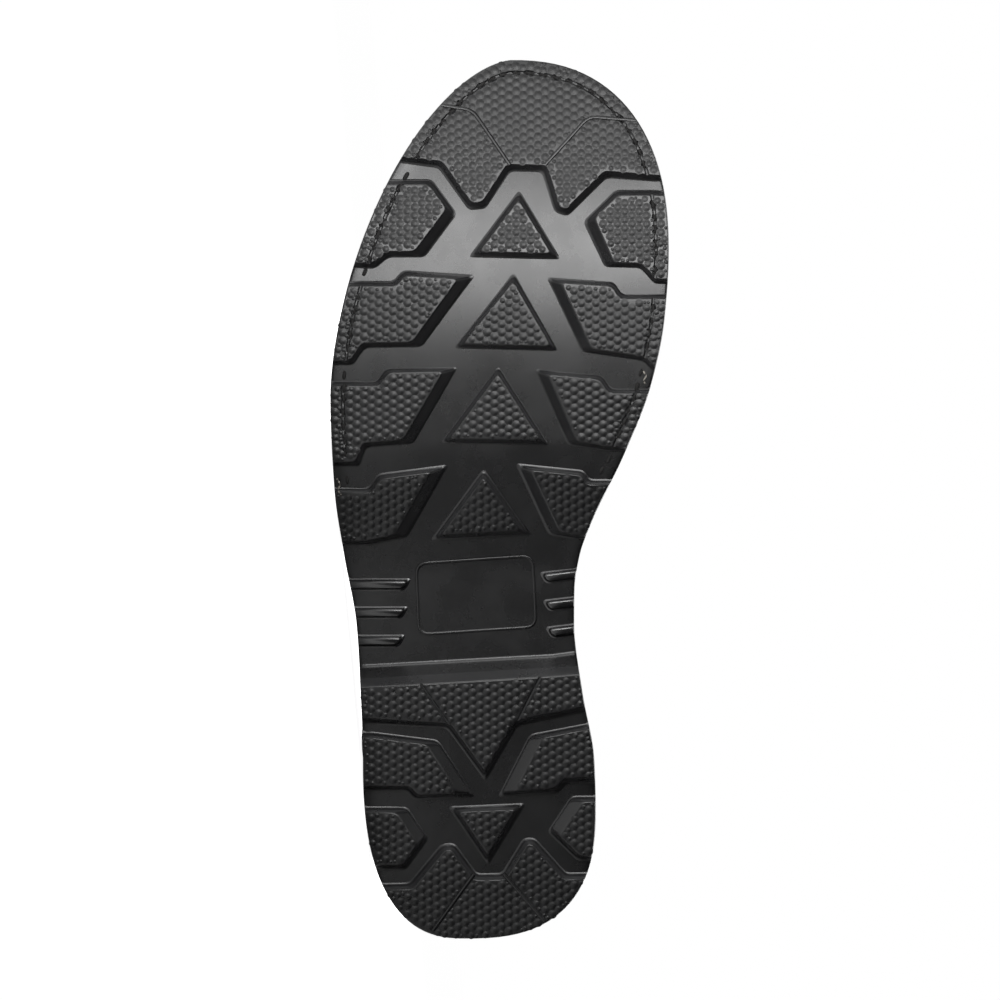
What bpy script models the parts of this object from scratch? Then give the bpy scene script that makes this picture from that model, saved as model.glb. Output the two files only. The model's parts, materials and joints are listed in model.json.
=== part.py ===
"""Right work boot lying on its outer side: moulded lug outsole, stitched welt and a hollow leather upper.

Table lengths are millimetres in the boot's own frame. Along runs from the back of the heel to the toe, across is
positive towards the inner side of the foot, and height is measured from the ground that the treads stand on.
The boot is modelled standing, and is then laid on its outer side.
"""

import bisect
import math
from collections import namedtuple

import bmesh
import bpy
from mathutils import Matrix, Vector

MM = 0.001
GAP = 0.3
MEDIAL, LATERAL = 1, -1
UP = Vector((0.0, 0.0, 1.0))

# Outsole plan: each side is a rounded toe, a waist curve and a rounded heel.
SOLE_LENGTH = 310.5
TOE_TIP_ACROSS = 11.4
HEEL_TIP_ACROSS = -5.5
RoundEnd = namedtuple("RoundEnd", "start edge power")
TOE_END = {LATERAL: RoundEnd(191.6, -52.8, 1.67), MEDIAL: RoundEnd(242.5, 66.7, 2.35)}
HEEL_END = {LATERAL: RoundEnd(63.2, -41.3, 2.49), MEDIAL: RoundEnd(45.7, 40.9, 2.61)}
WAIST = {
    LATERAL: [(63.2, -41.3), (91.0, -42.3), (111.0, -43.6), (135.0, -47.9), (159.0, -51.4), (191.6, -52.8)],
    MEDIAL: [(45.7, 40.9), (63.0, 40.4), (87.0, 36.2), (111.0, 33.3), (123.0, 33.4), (135.0, 35.2),
             (147.0, 39.5), (171.0, 51.0), (195.0, 60.3), (219.0, 65.2), (242.5, 66.7)],
}

# Outsole side view: flat heel and forefoot, raised shank, sprung toe.
LUG_DEPTH = 4.5
TOE_SPRING = 14.0
SPRING_START = 195.0
ARCH_RISE = 5.0
ARCH_BACK, ARCH_FRONT = 126.0, 174.0
BREAST_FOOT, BREAST_TOP = 96.3, 100.0
BREAST_SKEW = 2.4
SKEW_WINDOW = [(40.0, 0.0), (85.0, 1.0), (112.0, 1.0), (150.0, 0.0)]
SKEW_HALF_WIDTH = 38.0
SOLE_TOP = [(0.0, 30.0), (55.0, 29.4), (100.0, 25.4), (150.0, 17.2), (195.0, 12.6)]

# Grooves pressed into the outsole's side wall: one under the top edge all round, one low on the heel.
SIDE_GROOVE_DEPTH = 0.9
TOP_GROOVE = (4.4, 3.9, 3.0, 2.5)
HEEL_GROOVE_SHARES = (0.22, 0.25, 0.33, 0.36)
HEEL_GROOVE_FADE = [(95.0, 1.0), (112.0, 0.0)]

# Tread blocks. Corners are (along, across); a block that runs off an edge is closed beyond that edge.
LUG_DRAFT = 1.3
CROWN_DRAFT = 1.6
WAIST_FACING_DRAFT = 3.6
LUG_EMBED = 0.8
LUG_EDGE_INSET = 0.35
FAR_OUT = 95.0
WAIST_ALONG = 112.0
Lug = namedtuple("Lug", "runs_off corners")
LUGS = [
    Lug("toe", [(274.6, -28.0), (273.0, -14.2), (258.0, -3.6), (258.4, 1.6), (271.8, 10.3),
                (271.5, 22.5), (257.0, 27.0), (255.8, 30.8), (269.4, 44.5), (267.9, 64.0)]),
    Lug(LATERAL, [(267.4, -17.4), (255.9, -9.0), (241.2, -19.9), (241.2, -32.6), (237.2, -37.2)]),
    Lug(LATERAL, [(231.4, -30.2), (235.2, -27.0), (233.6, -3.0), (209.2, -20.7), (208.9, -40.8), (202.7, -45.0)]),
    Lug(LATERAL, [(196.2, -36.2), (200.9, -32.9), (201.3, -8.4), (175.0, -23.7), (173.7, -40.4), (167.0, -42.9)]),
    Lug(LATERAL, [(158.6, -38.8), (163.4, -35.7), (166.4, -12.4), (142.2, -26.2), (139.2, -40.0)]),
    Lug(MEDIAL, [(263.6, 48.2), (253.0, 37.4), (237.4, 44.3), (237.0, 56.7), (231.4, 61.7)]),
    Lug(MEDIAL, [(227.0, 50.0), (231.4, 47.2), (232.8, 24.4), (207.3, 36.2), (204.1, 57.8), (200.4, 61.2)]),
    Lug(MEDIAL, [(193.6, 46.1), (198.4, 42.9), (200.6, 19.8), (174.7, 31.2), (172.4, 46.0)]),
    Lug(MEDIAL, [(161.4, 38.4), (164.6, 36.4), (166.9, 13.7), (143.1, 24.8), (141.4, 34.0)]),
    Lug(None, [(263.0, 13.8), (241.2, -2.6), (240.4, 27.4)]),
    Lug(None, [(234.0, 11.9), (208.7, -8.4), (207.7, 27.2)]),
    Lug(None, [(201.4, 6.4), (175.2, -13.1), (174.6, 23.6)]),
    Lug(None, [(164.8, 1.3), (141.2, -16.1), (142.9, 16.9)]),
    Lug(None, [(79.9, -FAR_OUT), (75.0, -11.2), (57.0, 1.9), (75.8, 12.8), (92.5, FAR_OUT), (97.2, FAR_OUT),
               (87.8, -FAR_OUT)]),
    Lug(LATERAL, [(72.2, -38.0), (69.4, -15.2), (50.6, -3.0), (49.6, -22.6), (52.8, -25.2)]),
    Lug(MEDIAL, [(75.2, 38.0), (71.4, 18.2), (50.9, 7.7), (52.0, 27.3), (55.6, 30.1)]),
    Lug(LATERAL, [(45.8, -26.2), (35.4, -19.0), (25.0, -26.6)]),
    Lug(MEDIAL, [(49.6, 32.7), (37.9, 24.8), (28.2, 34.9)]),
    Lug(None, [(45.9, -9.8), (47.0, 14.9), (27.4, 2.9)]),
    Lug("heel", [(18.8, -33.0), (19.0, -24.5), (32.7, -13.2), (33.0, -9.3), (22.2, -1.3),
                 (22.4, 8.2), (34.8, 15.8), (34.8, 19.1), (22.5, 30.2), (22.7, 36.0)]),
]
BEND_STATIONS = [130.0, 140.0, 150.0, 160.0, 170.0, 180.0] + [195.0 + 9.0 * step for step in range(13)]

# Three low ribs cross each side of the shank.
RIB_HEIGHT = 1.6
ShankRib = namedtuple("ShankRib", "side front width inner slant")
SHANK_RIBS = [ShankRib(LATERAL, front, 2.8, -25.4 - step, 0.0) for step, front in enumerate((126.3, 116.4, 106.4))]
SHANK_RIBS += [ShankRib(MEDIAL, front, 2.6, 22.2 + step, 0.12) for step, front in enumerate((128.6, 118.8, 109.3))]

# Upper: distance of its lower edge inside the sole's edge, wall and raised layers.
FEATHER_MARGIN = [(60.0, 4.2), (130.0, 6.6), (200.0, 8.6)]
WALL = 2.4
QUARTER_STEP = 1.3
BACKSTAY_STEP = 1.2
CUFF_PAD = 2.0
SEAM_AROUND = 0.50
BACKSTAY_AROUND = 0.955
CUFF_START = 0.82
CUFF_FADE = [(0.70, 0.0), (0.78, 1.0)]
STEP_WIDTH = 0.0015
CENTRE_LINE = [(0.0, -4.0), (60.0, -2.4), (120.0, -1.6), (160.0, 1.0), (200.0, 5.0), (240.0, 10.0), (280.0, 12.6),
               (310.5, 11.4)]

# Each row is a half section of the last. Around is its foot's share of the way from the toe's tip to the heel's back.
# The foot leans out by bulge over rise; the top is at the centre line, the throat's edge or the collar.
Section = namedtuple("Section", "around bulge rise top_along top_half top_height lean spread drop")
SECTIONS = [
    Section(0.00, 5.0, 27.0, 279.0, 0.0, 71.0, 17.0, 0.0, 3.6),
    Section(0.06, 5.0, 27.0, 277.0, 0.0, 71.6, 13.0, 13.0, 3.0),
    Section(0.12, 5.0, 28.0, 271.0, 0.0, 73.0, 6.0, 22.0, 1.4),
    Section(0.18, 5.0, 29.0, 260.0, 0.0, 75.6, 2.0, 26.0, 0.5),
    Section(0.26, 5.0, 31.0, 241.0, 0.0, 80.4, 0.0, 28.0, 0.0),
    Section(0.34, 4.5, 33.0, 222.0, 0.0, 87.0, 0.0, 28.0, 0.0),
    Section(0.42, 4.0, 35.0, 205.0, 0.0, 95.0, 0.0, 26.0, 0.0),
    Section(0.50, 3.5, 37.0, 190.0, 0.0, 103.5, 0.0, 24.0, 0.0),
    Section(0.56, 3.5, 39.0, 178.0, 10.0, 111.0, -3.0, 20.0, 8.0),
    Section(0.62, 4.0, 41.0, 160.0, 13.0, 125.5, -4.0, 20.0, 15.0),
    Section(0.68, 5.0, 43.0, 140.0, 15.0, 146.0, -6.0, 20.0, 26.0),
    Section(0.74, 6.0, 44.0, 123.0, 17.0, 172.0, -5.0, 15.0, 38.0),
    Section(0.80, 7.0, 42.0, 102.0, 31.0, 176.5, 0.0, 3.0, 48.0),
    Section(0.87, 8.0, 38.0, 66.0, 38.0, 174.0, 1.0, -1.0, 52.0),
    Section(0.94, 10.0, 34.0, 28.0, 29.0, 171.0, 6.0, -2.0, 54.0),
    Section(1.00, 14.0, 32.0, 10.0, 0.0, 170.0, 9.0, 0.0, 56.0),
]
ODD_COLUMNS = ("top_half", "spread")
THROAT_LOW = SECTIONS[8]
THROAT_FOOT = 0.04
THROAT_NORMAL_LEVEL = 0.95
UPPER_AROUND = [0.0, 0.03, 0.06, 0.09, 0.12, 0.15, 0.18, 0.22, 0.26, 0.30, 0.34, 0.38, 0.42, 0.46,
                SEAM_AROUND - STEP_WIDTH, SEAM_AROUND, SEAM_AROUND + STEP_WIDTH, 0.506, 0.513, 0.525, 0.54, 0.56, 0.59,
                0.62,
                0.65, 0.68, 0.71, 0.74, 0.77, 0.80, 0.835, 0.87, 0.905, 0.935,
                BACKSTAY_AROUND - STEP_WIDTH, BACKSTAY_AROUND + STEP_WIDTH, 0.98, 1.0]
UPPER_LEVELS = [0.0, 0.07, 0.15, 0.24, 0.33, 0.42, 0.51, 0.60, 0.68, 0.75, CUFF_START, 0.88, 0.94, 1.0]

# Welt: a strip on the sole's margin from waist to waist round the toe.
WELT_BACK = 103.0
WELT_THICKNESS = 4.2
WELT_EDGE_INSET = 0.8
WELT_LEAN = 1.5
WELT_CLEARANCE = 0.95
WELT_BEVEL = 0.8
WELT_SEAM_MARGIN = 10.0

INSOLE_CLEARANCE = 0.7
INSOLE_THICKNESS = 3.5

# Tongue: cut from the last's own shape, inside the upper, from under the vamp to above the collar.
TONGUE_THICKNESS = 3.6
TONGUE_SHARES = (1.0, 0.62, 0.25)
TONGUE_BRIDGE = (0.25, 0.5, 0.75)
TONGUE_ABOVE_COLLAR = 15.0
TONGUE_LEAN = 5.0
TongueRow = namedtuple("TongueRow", "around reach clearance")
TONGUE_ROWS = [TongueRow(0.46, 17.0, 0.0), TongueRow(0.50, 18.0, 1.4), TongueRow(0.54, 15.0, 2.2),
               TongueRow(0.59, 14.0, 2.2), TongueRow(0.64, 14.0, 2.2), TongueRow(0.69, 13.0, 2.2),
               TongueRow(0.732, 12.0, 2.2)]

# Eyelets stand along both edges of the throat, and the lace zigzags over them.
EYELET_AROUND = [0.571, 0.598, 0.625, 0.652, 0.680, 0.707]
EYELET_EDGE_DISTANCE = 8.5
EYELET_HOLE = 3.2
EYELET_SIDES = 12
EyeletPoint = namedtuple("EyeletPoint", "radius height")
EYELET_PROFILE = [EyeletPoint(2.1, 1.6), EyeletPoint(3.5, 1.6), EyeletPoint(4.4, 0.8), EyeletPoint(2.8, 0.8),
                  EyeletPoint(2.8, -3.2), EyeletPoint(2.1, -3.2)]
LACE_RADIUS = 2.0
LACE_LIFT = 5.0
LACE_TURN = 1.5
LACE_EDGE_LIFT = 3.1
LACE_CENTRE_LIFT = 2.2

# Flattest hull faces tilt further from the outer side than this cosine allows.
LYING_COSINE = 0.97

Finish = namedtuple("Finish", "name colour roughness metallic")
RUBBER = Finish("black_rubber", (0.012, 0.012, 0.013), 0.50, 0.0)
LEATHER = Finish("black_leather", (0.014, 0.013, 0.012), 0.42, 0.0)
WELT_LEATHER = Finish("welt_leather", (0.018, 0.016, 0.015), 0.55, 0.0)
FOOTBED = Finish("footbed_felt", (0.045, 0.042, 0.040), 0.90, 0.0)
STEEL = Finish("blackened_steel", (0.09, 0.09, 0.10), 0.35, 1.0)
CORD = Finish("lace_cord", (0.016, 0.016, 0.016), 0.85, 0.0)


def slope_at(rows, index):
    """Slope of the curve at an inner row, flat where the rows turn, so that the curve never overshoots."""
    (x0, y0), (x1, y1), (x2, y2) = rows[index - 1:index + 2]
    before, after = (y1 - y0) / (x1 - x0), (y2 - y1) / (x2 - x1)
    return 0.0 if before * after <= 0 else 2.0 * before * after / (before + after)


def through(rows, at):
    """Value at a place on the smooth curve through (place, value) rows, level beyond its first and last rows."""
    if at <= rows[0][0]:
        return rows[0][1]
    if at >= rows[-1][0]:
        return rows[-1][1]
    index = bisect.bisect_right(rows, (at, math.inf)) - 1
    (x0, y0), (x1, y1) = rows[index], rows[index + 1]
    width = x1 - x0
    first = slope_at(rows, index) if index > 0 else 0.0
    second = slope_at(rows, index + 1) if index + 2 < len(rows) else 0.0
    t = (at - x0) / width
    blend = t * t * (3.0 - 2.0 * t)
    return (y0 + (y1 - y0) * blend + width * first * t * (1.0 - t) ** 2 - width * second * t * t * (1.0 - t))


def ease(start, end, at):
    """Smooth share from 0 at start to 1 at end."""
    return through([(start, 0.0), (end, 1.0)], at)


# Outsole plan and heights


def round_end(distance, reach, tip, end):
    """Across position on a rounded toe or heel, at a distance from where it starts."""
    share = min(max(distance / reach, 0.0), 1.0)
    return tip + (end.edge - tip) * (1.0 - share ** end.power) ** (1.0 / end.power)


def sole_edge(side, along):
    """Across position of the outsole's edge."""
    toe, heel = TOE_END[side], HEEL_END[side]
    if along >= toe.start:
        return round_end(along - toe.start, SOLE_LENGTH - toe.start, TOE_TIP_ACROSS, toe)
    if along <= heel.start:
        return round_end(heel.start - along, heel.start, HEEL_TIP_ACROSS, heel)
    return through(WAIST[side], along)


def spring(along):
    """How far the toe turns up."""
    share = max(along - SPRING_START, 0.0) / (SOLE_LENGTH - SPRING_START)
    return TOE_SPRING * share * share


def sole_top(along):
    """Height of the face that the upper and welt sit on."""
    return through(SOLE_TOP, along) + spring(along)


def tread_line(along):
    """Height of the tread blocks' faces: on the ground, but for the arch and the toe."""
    if along < BREAST_FOOT:
        return 0.0
    return ARCH_RISE * (1.0 - ease(ARCH_BACK, ARCH_FRONT, along)) + spring(along)


def sole_floor(station):
    """Height of the smooth floor between the tread blocks, with the heel's sloping breast."""
    if station <= BREAST_FOOT:
        return LUG_DEPTH
    if station < BREAST_TOP:
        return LUG_DEPTH + ARCH_RISE * (station - BREAST_FOOT) / (BREAST_TOP - BREAST_FOOT)
    return LUG_DEPTH + tread_line(station)


def skew(along):
    """How far the heel's cross lines lean, forward on the inner side."""
    return BREAST_SKEW * (ease(SKEW_WINDOW[0][0], SKEW_WINDOW[1][0], along)
                          - ease(SKEW_WINDOW[2][0], SKEW_WINDOW[3][0], along))


def station_of(along, across):
    """Station whose skewed cross line passes through a place."""
    return along - skew(along) * across / SKEW_HALF_WIDTH


def sole_stations():
    """Stations along the sole, closest together round the toe and the heel."""
    turn = [math.radians(angle) for angle in (4, 10, 17, 25, 33, 42, 52, 63, 76)]
    heel = [46.0 * (1.0 - math.cos(angle)) for angle in turn]
    toe = [SOLE_LENGTH - 62.0 * (1.0 - math.cos(angle)) for angle in turn]
    middle = [46.0, 62.0, 78.0, 90.0, BREAST_FOOT, BREAST_TOP, 112.0, 126.0, 138.0, 148.0, 158.0, 168.0, 178.0,
              187.0, 195.0, 204.0, 213.0, 222.0, 231.0, 240.0]
    return heel + middle + toe[::-1]


def edge_loop(stations):
    """Outline as (along, across, station) points: inner side from toe to heel, then outer side back."""
    inner = [(s + skew(s), s) for s in reversed(stations)]
    outer = [(s - skew(s), s) for s in stations]
    return ([(along, sole_edge(MEDIAL, along), s) for along, s in inner]
            + [(along, sole_edge(LATERAL, along), s) for along, s in outer])


def outward(points):
    """Outward plan normals of a closed loop that runs from the toe down its inner side."""
    normals = []
    for index, point in enumerate(points):
        before, after = points[index - 1], points[(index + 1) % len(points)]
        run = Vector((after[0] - before[0], after[1] - before[1]))
        normals.append(Vector((-run.y, run.x)).normalized() * -1.0)
    return normals


# Mesh helpers


def to_metres(along, across, height):
    return Vector((along, across, height)) * MM


def link(name, mesh, finish, collection):
    """Adds an object with its material to a collection."""
    obj = bpy.data.objects.new(name, mesh)
    material = bpy.data.materials.get(finish.name)
    if material is None:
        material = bpy.data.materials.new(finish.name)
        material.use_nodes = True
        shader = material.node_tree.nodes["Principled BSDF"]
        shader.inputs["Base Color"].default_value = (*finish.colour, 1.0)
        shader.inputs["Roughness"].default_value = finish.roughness
        shader.inputs["Metallic"].default_value = finish.metallic
    mesh.materials.append(material)
    collection.objects.link(obj)
    return obj


def finished(name, bm, finish, collection, smooth_angle=40.0):
    """Turns a bmesh into an object with outward faces and shading split at its sharp edges."""
    bmesh.ops.recalc_face_normals(bm, faces=bm.faces)
    mesh = bpy.data.meshes.new(name)
    bm.to_mesh(mesh)
    bm.free()
    mesh.shade_smooth()
    mesh.set_sharp_from_angle(angle=math.radians(smooth_angle))
    return link(name, mesh, finish, collection)


def as_cutter(obj):
    obj.hide_render = True
    obj.display_type = "WIRE"
    return obj


def boolean(obj, operation, other):
    modifier = obj.modifiers.new(operation.lower(), "BOOLEAN")
    modifier.operation = operation
    modifier.object = other


def ring(bm, points):
    """A closed loop of edges through the points."""
    corners = [bm.verts.new(point) for point in points]
    return [bm.edges.new((corners[index - 1], corner)) for index, corner in enumerate(corners)], corners


def stacked(rings, paired_caps):
    """A bmesh skinned over closed rings of equal count. Paired caps join each ring's inner and outer side by strips."""
    bm = bmesh.new()
    loops = [ring(bm, points) for points in rings]
    for (lower, _), (upper, _) in zip(loops, loops[1:]):
        bmesh.ops.bridge_loops(bm, edges=lower + upper)
    for _, corners in (loops[0], loops[-1]):
        if paired_caps:
            for left, right in zip(range(len(corners) // 2), range(len(corners) - 1, 0, -1)):
                if right - left > 1:
                    bm.faces.new([corners[i] for i in (left, left + 1, right - 1, right)][:4 if right - left > 2 else 3])
        else:
            bm.faces.new(corners)
    return bm


# Outsole


def side_grooves(station, foot, top):
    """Inset and height of each ring up the outsole's side wall, for one place on its edge."""
    fade = 1.0 - ease(HEEL_GROOVE_FADE[0][0], HEEL_GROOVE_FADE[1][0], station)
    depths = (0.0, SIDE_GROOVE_DEPTH, SIDE_GROOVE_DEPTH, 0.0)
    low = [(depth * fade, foot + (top - foot) * share) for depth, share in zip(depths, HEEL_GROOVE_SHARES)]
    high = [(depth, top - below) for depth, below in zip(depths, TOP_GROOVE)]
    return [(0.0, foot), *low, *high, (0.0, top)]


def outsole_slab(collection):
    """The outsole without its tread blocks."""
    loop = edge_loop(sole_stations())
    normals = outward(loop)
    walls = [side_grooves(station, sole_floor(station), sole_top(along)) for along, _, station in loop]
    rings = []
    for level in range(len(walls[0])):
        points = []
        for (along, across, _), normal, wall in zip(loop, normals, walls):
            inset, height = wall[level]
            points.append(to_metres(along - normal.x * inset, across - normal.y * inset, height))
        rings.append(points)
    return finished("outsole", stacked(rings, paired_caps=True), RUBBER, collection)


def closed_outline(lug):
    """Corners of a tread block, carried beyond the sole's edge where it runs off it, anticlockwise from above."""
    corners = list(lug.corners)
    first, last = corners[0], corners[-1]
    if lug.runs_off in (MEDIAL, LATERAL):
        corners += [(last[0], lug.runs_off * FAR_OUT), (first[0], lug.runs_off * FAR_OUT)]
    elif lug.runs_off == "toe":
        corners += [(last[0], FAR_OUT), (SOLE_LENGTH + FAR_OUT, FAR_OUT), (SOLE_LENGTH + FAR_OUT, -FAR_OUT),
                    (first[0], -FAR_OUT)]
    elif lug.runs_off == "heel":
        corners += [(last[0], FAR_OUT), (-FAR_OUT, FAR_OUT), (-FAR_OUT, -FAR_OUT), (first[0], -FAR_OUT)]
    area = sum(x0 * y1 - x1 * y0 for (x0, y0), (x1, y1) in zip(corners, corners[1:] + corners[:1]))
    return corners if area > 0 else corners[::-1]


def edge_draft(lug, normal):
    """How far a tread block's wall leans in: walls of side blocks that face the waist slantwise are laid well back."""
    if lug.runs_off in ("toe", "heel"):
        return CROWN_DRAFT
    towards_waist = -normal.x if lug.corners[0][0] > WAIST_ALONG else normal.x
    slanted = 0.25 < towards_waist < 0.9
    return WAIST_FACING_DRAFT if slanted and lug.runs_off else LUG_DRAFT


def drawn_in(corners, drafts):
    """Corners of a polygon whose edges have each moved inwards by their own draft."""
    lines = []
    for (x0, y0), (x1, y1), draft in zip(corners, corners[1:] + corners[:1], drafts):
        run = Vector((x1 - x0, y1 - y0)).normalized()
        inward = Vector((-run.y, run.x))
        lines.append((Vector((x0, y0)) + inward * draft, run))
    moved = []
    for (before, before_run), (after, after_run) in zip(lines[-1:] + lines[:-1], lines):
        turn = before_run.cross(after_run)
        if abs(turn) < 1e-6:
            moved.append(after)
        else:
            moved.append(before + before_run * ((after - before).cross(after_run) / turn))
    return moved


def tread_block(bm, corners, drafts, face_height, root_height):
    """Adds a tapered prism, wide at its root."""
    face = [bm.verts.new(to_metres(x, y, face_height)) for x, y in drawn_in(corners, drafts)]
    root = [bm.verts.new(to_metres(x, y, root_height)) for x, y in corners]
    bm.faces.new(face[::-1])
    bm.faces.new(root)
    for index in range(len(corners)):
        bm.faces.new((root[index - 1], face[index - 1], face[index], root[index]))


def tread(collection):
    """Every tread block, bent to the tread line and trimmed to the sole's outline."""
    bm = bmesh.new()
    for lug in LUGS:
        corners = closed_outline(lug)
        drafts = []
        for (x0, y0), (x1, y1) in zip(corners, corners[1:] + corners[:1]):
            normal = Vector((y1 - y0, x0 - x1)).normalized()
            drafts.append(edge_draft(lug, normal))
        tread_block(bm, corners, drafts, 0.0, LUG_DEPTH + LUG_EMBED)
    for station in BEND_STATIONS:
        geometry = bm.verts[:] + bm.edges[:] + bm.faces[:]
        bmesh.ops.bisect_plane(bm, geom=geometry, plane_co=(station * MM, 0, 0), plane_no=(1, 0, 0), dist=1e-6)
    for vertex in bm.verts:
        vertex.co.z += tread_line(station_of(vertex.co.x / MM, vertex.co.y / MM)) * MM
    return as_cutter(finished("tread_blocks", bm, RUBBER, collection))


def shank_ribs(collection):
    """The low bars across each side of the shank."""
    bm = bmesh.new()
    for rib in SHANK_RIBS:
        reach = (FAR_OUT - abs(rib.inner)) * rib.slant
        out = rib.side * FAR_OUT
        slope = rib.side * 1.6
        corners = [(rib.front, rib.inner), (rib.front + reach, out), (rib.front + reach - rib.width, out),
                   (rib.front - rib.width, rib.inner + slope)]
        if rib.side == MEDIAL:
            corners = corners[::-1]
        floor = sole_floor(rib.front - rib.width / 2)
        tread_block(bm, corners[::-1], [0.6] * 4, floor - RIB_HEIGHT, floor + LUG_EMBED)
    return as_cutter(finished("shank_ribs", bm, RUBBER, collection))


def outline_prism(collection):
    """The sole's outline as a tall prism, just inside its edge."""
    loop = edge_loop(sole_stations())
    inset = [(along - normal.x * LUG_EDGE_INSET, across - normal.y * LUG_EDGE_INSET)
             for (along, across, _), normal in zip(loop, outward(loop))]
    rings = [[to_metres(along, across, height) for along, across in inset] for height in (-9.0, 60.0)]
    return as_cutter(finished("outline_prism", stacked(rings, paired_caps=False), RUBBER, collection))


def outsole(parts, cutters):
    """The moulded outsole with its tread blocks and shank ribs."""
    trim = outline_prism(cutters)
    slab = outsole_slab(parts)
    for blocks in (tread(cutters), shank_ribs(cutters)):
        boolean(blocks, "INTERSECT", trim)
        boolean(slab, "UNION", blocks)
    return slab


# Upper: a surface by place round the foot, -1 at the heel's back, outer side, 0 at the toe, 1 at the heel's back again


class Last:
    """The shape of the upper's outer face before its raised layers."""

    def __init__(self):
        self.columns = {name: self.mirrored_column(name) for name in Section._fields[1:]}
        self.feet = {side: self.foot_line(side) for side in (MEDIAL, LATERAL)}

    @staticmethod
    def mirrored_column(name):
        """One column of the sections table, carried past toe and heel so that both sides meet smoothly."""
        sign = -1.0 if name in ODD_COLUMNS else 1.0
        rows = [(row.around, getattr(row, name)) for row in SECTIONS]
        return [(-rows[1][0], sign * rows[1][1])] + rows + [(2.0 - rows[-2][0], sign * rows[-2][1])]

    @staticmethod
    def edge_points(side, steps=40):
        """The sole's edge on one side from toe to heel, evenly enough for both round ends."""
        toe, heel = TOE_END[side], HEEL_END[side]
        points = []
        for step in range(steps + 1):
            angle = math.pi / 2 * (1.0 - step / steps)
            points.append((toe.start + (SOLE_LENGTH - toe.start) * math.sin(angle) ** (2.0 / toe.power),
                           TOE_TIP_ACROSS + (toe.edge - TOE_TIP_ACROSS) * math.cos(angle) ** (2.0 / toe.power)))
        for step in range(1, steps):
            along = toe.start + (heel.start - toe.start) * step / steps
            points.append((along, sole_edge(side, along)))
        for step in range(steps + 1):
            angle = math.pi / 2 * step / steps
            points.append((heel.start - heel.start * math.sin(angle) ** (2.0 / heel.power),
                           HEEL_TIP_ACROSS + (heel.edge - HEEL_TIP_ACROSS) * math.cos(angle) ** (2.0 / heel.power)))
        return points

    def foot_line(self, side):
        """Travelled shares, places and outward normals along the upper's lower edge on one side."""
        own, other = self.edge_points(side), self.edge_points(-side)
        loop = own + other[-2:0:-1]
        if side == LATERAL:
            loop = loop[:1] + loop[:0:-1]
        normals = outward(loop)
        if side == LATERAL:
            normals = normals[:1] + normals[:0:-1]
        places = [Vector(point) - normal * through(FEATHER_MARGIN, point[0]) for point, normal in zip(own, normals)]
        travelled = [0.0]
        for before, after in zip(places, places[1:]):
            travelled.append(travelled[-1] + (after - before).length)
        return [length / travelled[-1] for length in travelled], places, normals

    def foot(self, side, around):
        """Place and outward normal of the lower edge at a share of the way round."""
        shares, places, normals = self.feet[side]
        index = min(max(bisect.bisect_right(shares, around) - 1, 0), len(shares) - 2)
        t = (around - shares[index]) / (shares[index + 1] - shares[index])
        return places[index].lerp(places[index + 1], t), normals[index].lerp(normals[index + 1], t).normalized()

    def point(self, u, v):
        """Place on the last: u round the foot, v from 0 at the sole to 1 at the top."""
        u = (u + 1.0) % 2.0 - 1.0
        side, around = (MEDIAL if u >= 0 else LATERAL), abs(u)
        row = {name: through(column, around) for name, column in self.columns.items()}
        place, normal = self.foot(side, around)
        half = row["top_half"]
        if SEAM_AROUND < around < THROAT_LOW.around:
            opening = min((around - SEAM_AROUND) / THROAT_FOOT, 1.0)
            half = THROAT_LOW.top_half * math.sqrt(1.0 - (1.0 - opening) ** 2)
        foot = Vector((place.x, place.y, sole_top(place.x) + GAP))
        low = foot + Vector((normal.x * row["bulge"], normal.y * row["bulge"], row["rise"]))
        top = Vector((row["top_along"], through(CENTRE_LINE, row["top_along"]) + side * half, row["top_height"]))
        high = top + Vector((row["lean"], side * row["spread"], -row["drop"]))
        w = 1.0 - v
        return foot * w ** 3 + low * 3 * w * w * v + high * 3 * w * v * v + top * v ** 3

    def normal(self, u, v):
        """Outward normal of the last, level at its foot so that the lower edge sits flat."""
        du, dv = 0.004, 0.01
        if abs(u) > SEAM_AROUND:
            v = min(v, THROAT_NORMAL_LEVEL)
        across = self.point(u + du, v) - self.point(u - du, v)
        rise = self.point(u, min(v + dv, 1.0)) - self.point(u, max(v - dv, 0.0))
        out = across.cross(rise)
        if v == 0.0:
            out.z = 0.0
        return out.normalized()


def relief(u, v):
    """Height of the raised layers over the last: quarters, backstay and padded cuff."""
    around = abs(u)
    raised = QUARTER_STEP * (around > SEAM_AROUND + STEP_WIDTH / 2)
    raised += BACKSTAY_STEP * (around > BACKSTAY_AROUND)
    pad = math.sin(math.pi * min(max((v - CUFF_START) / (1.0 - CUFF_START), 0.0), 1.0))
    return raised + CUFF_PAD * pad * ease(CUFF_FADE[0][0], CUFF_FADE[1][0], around)


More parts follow.
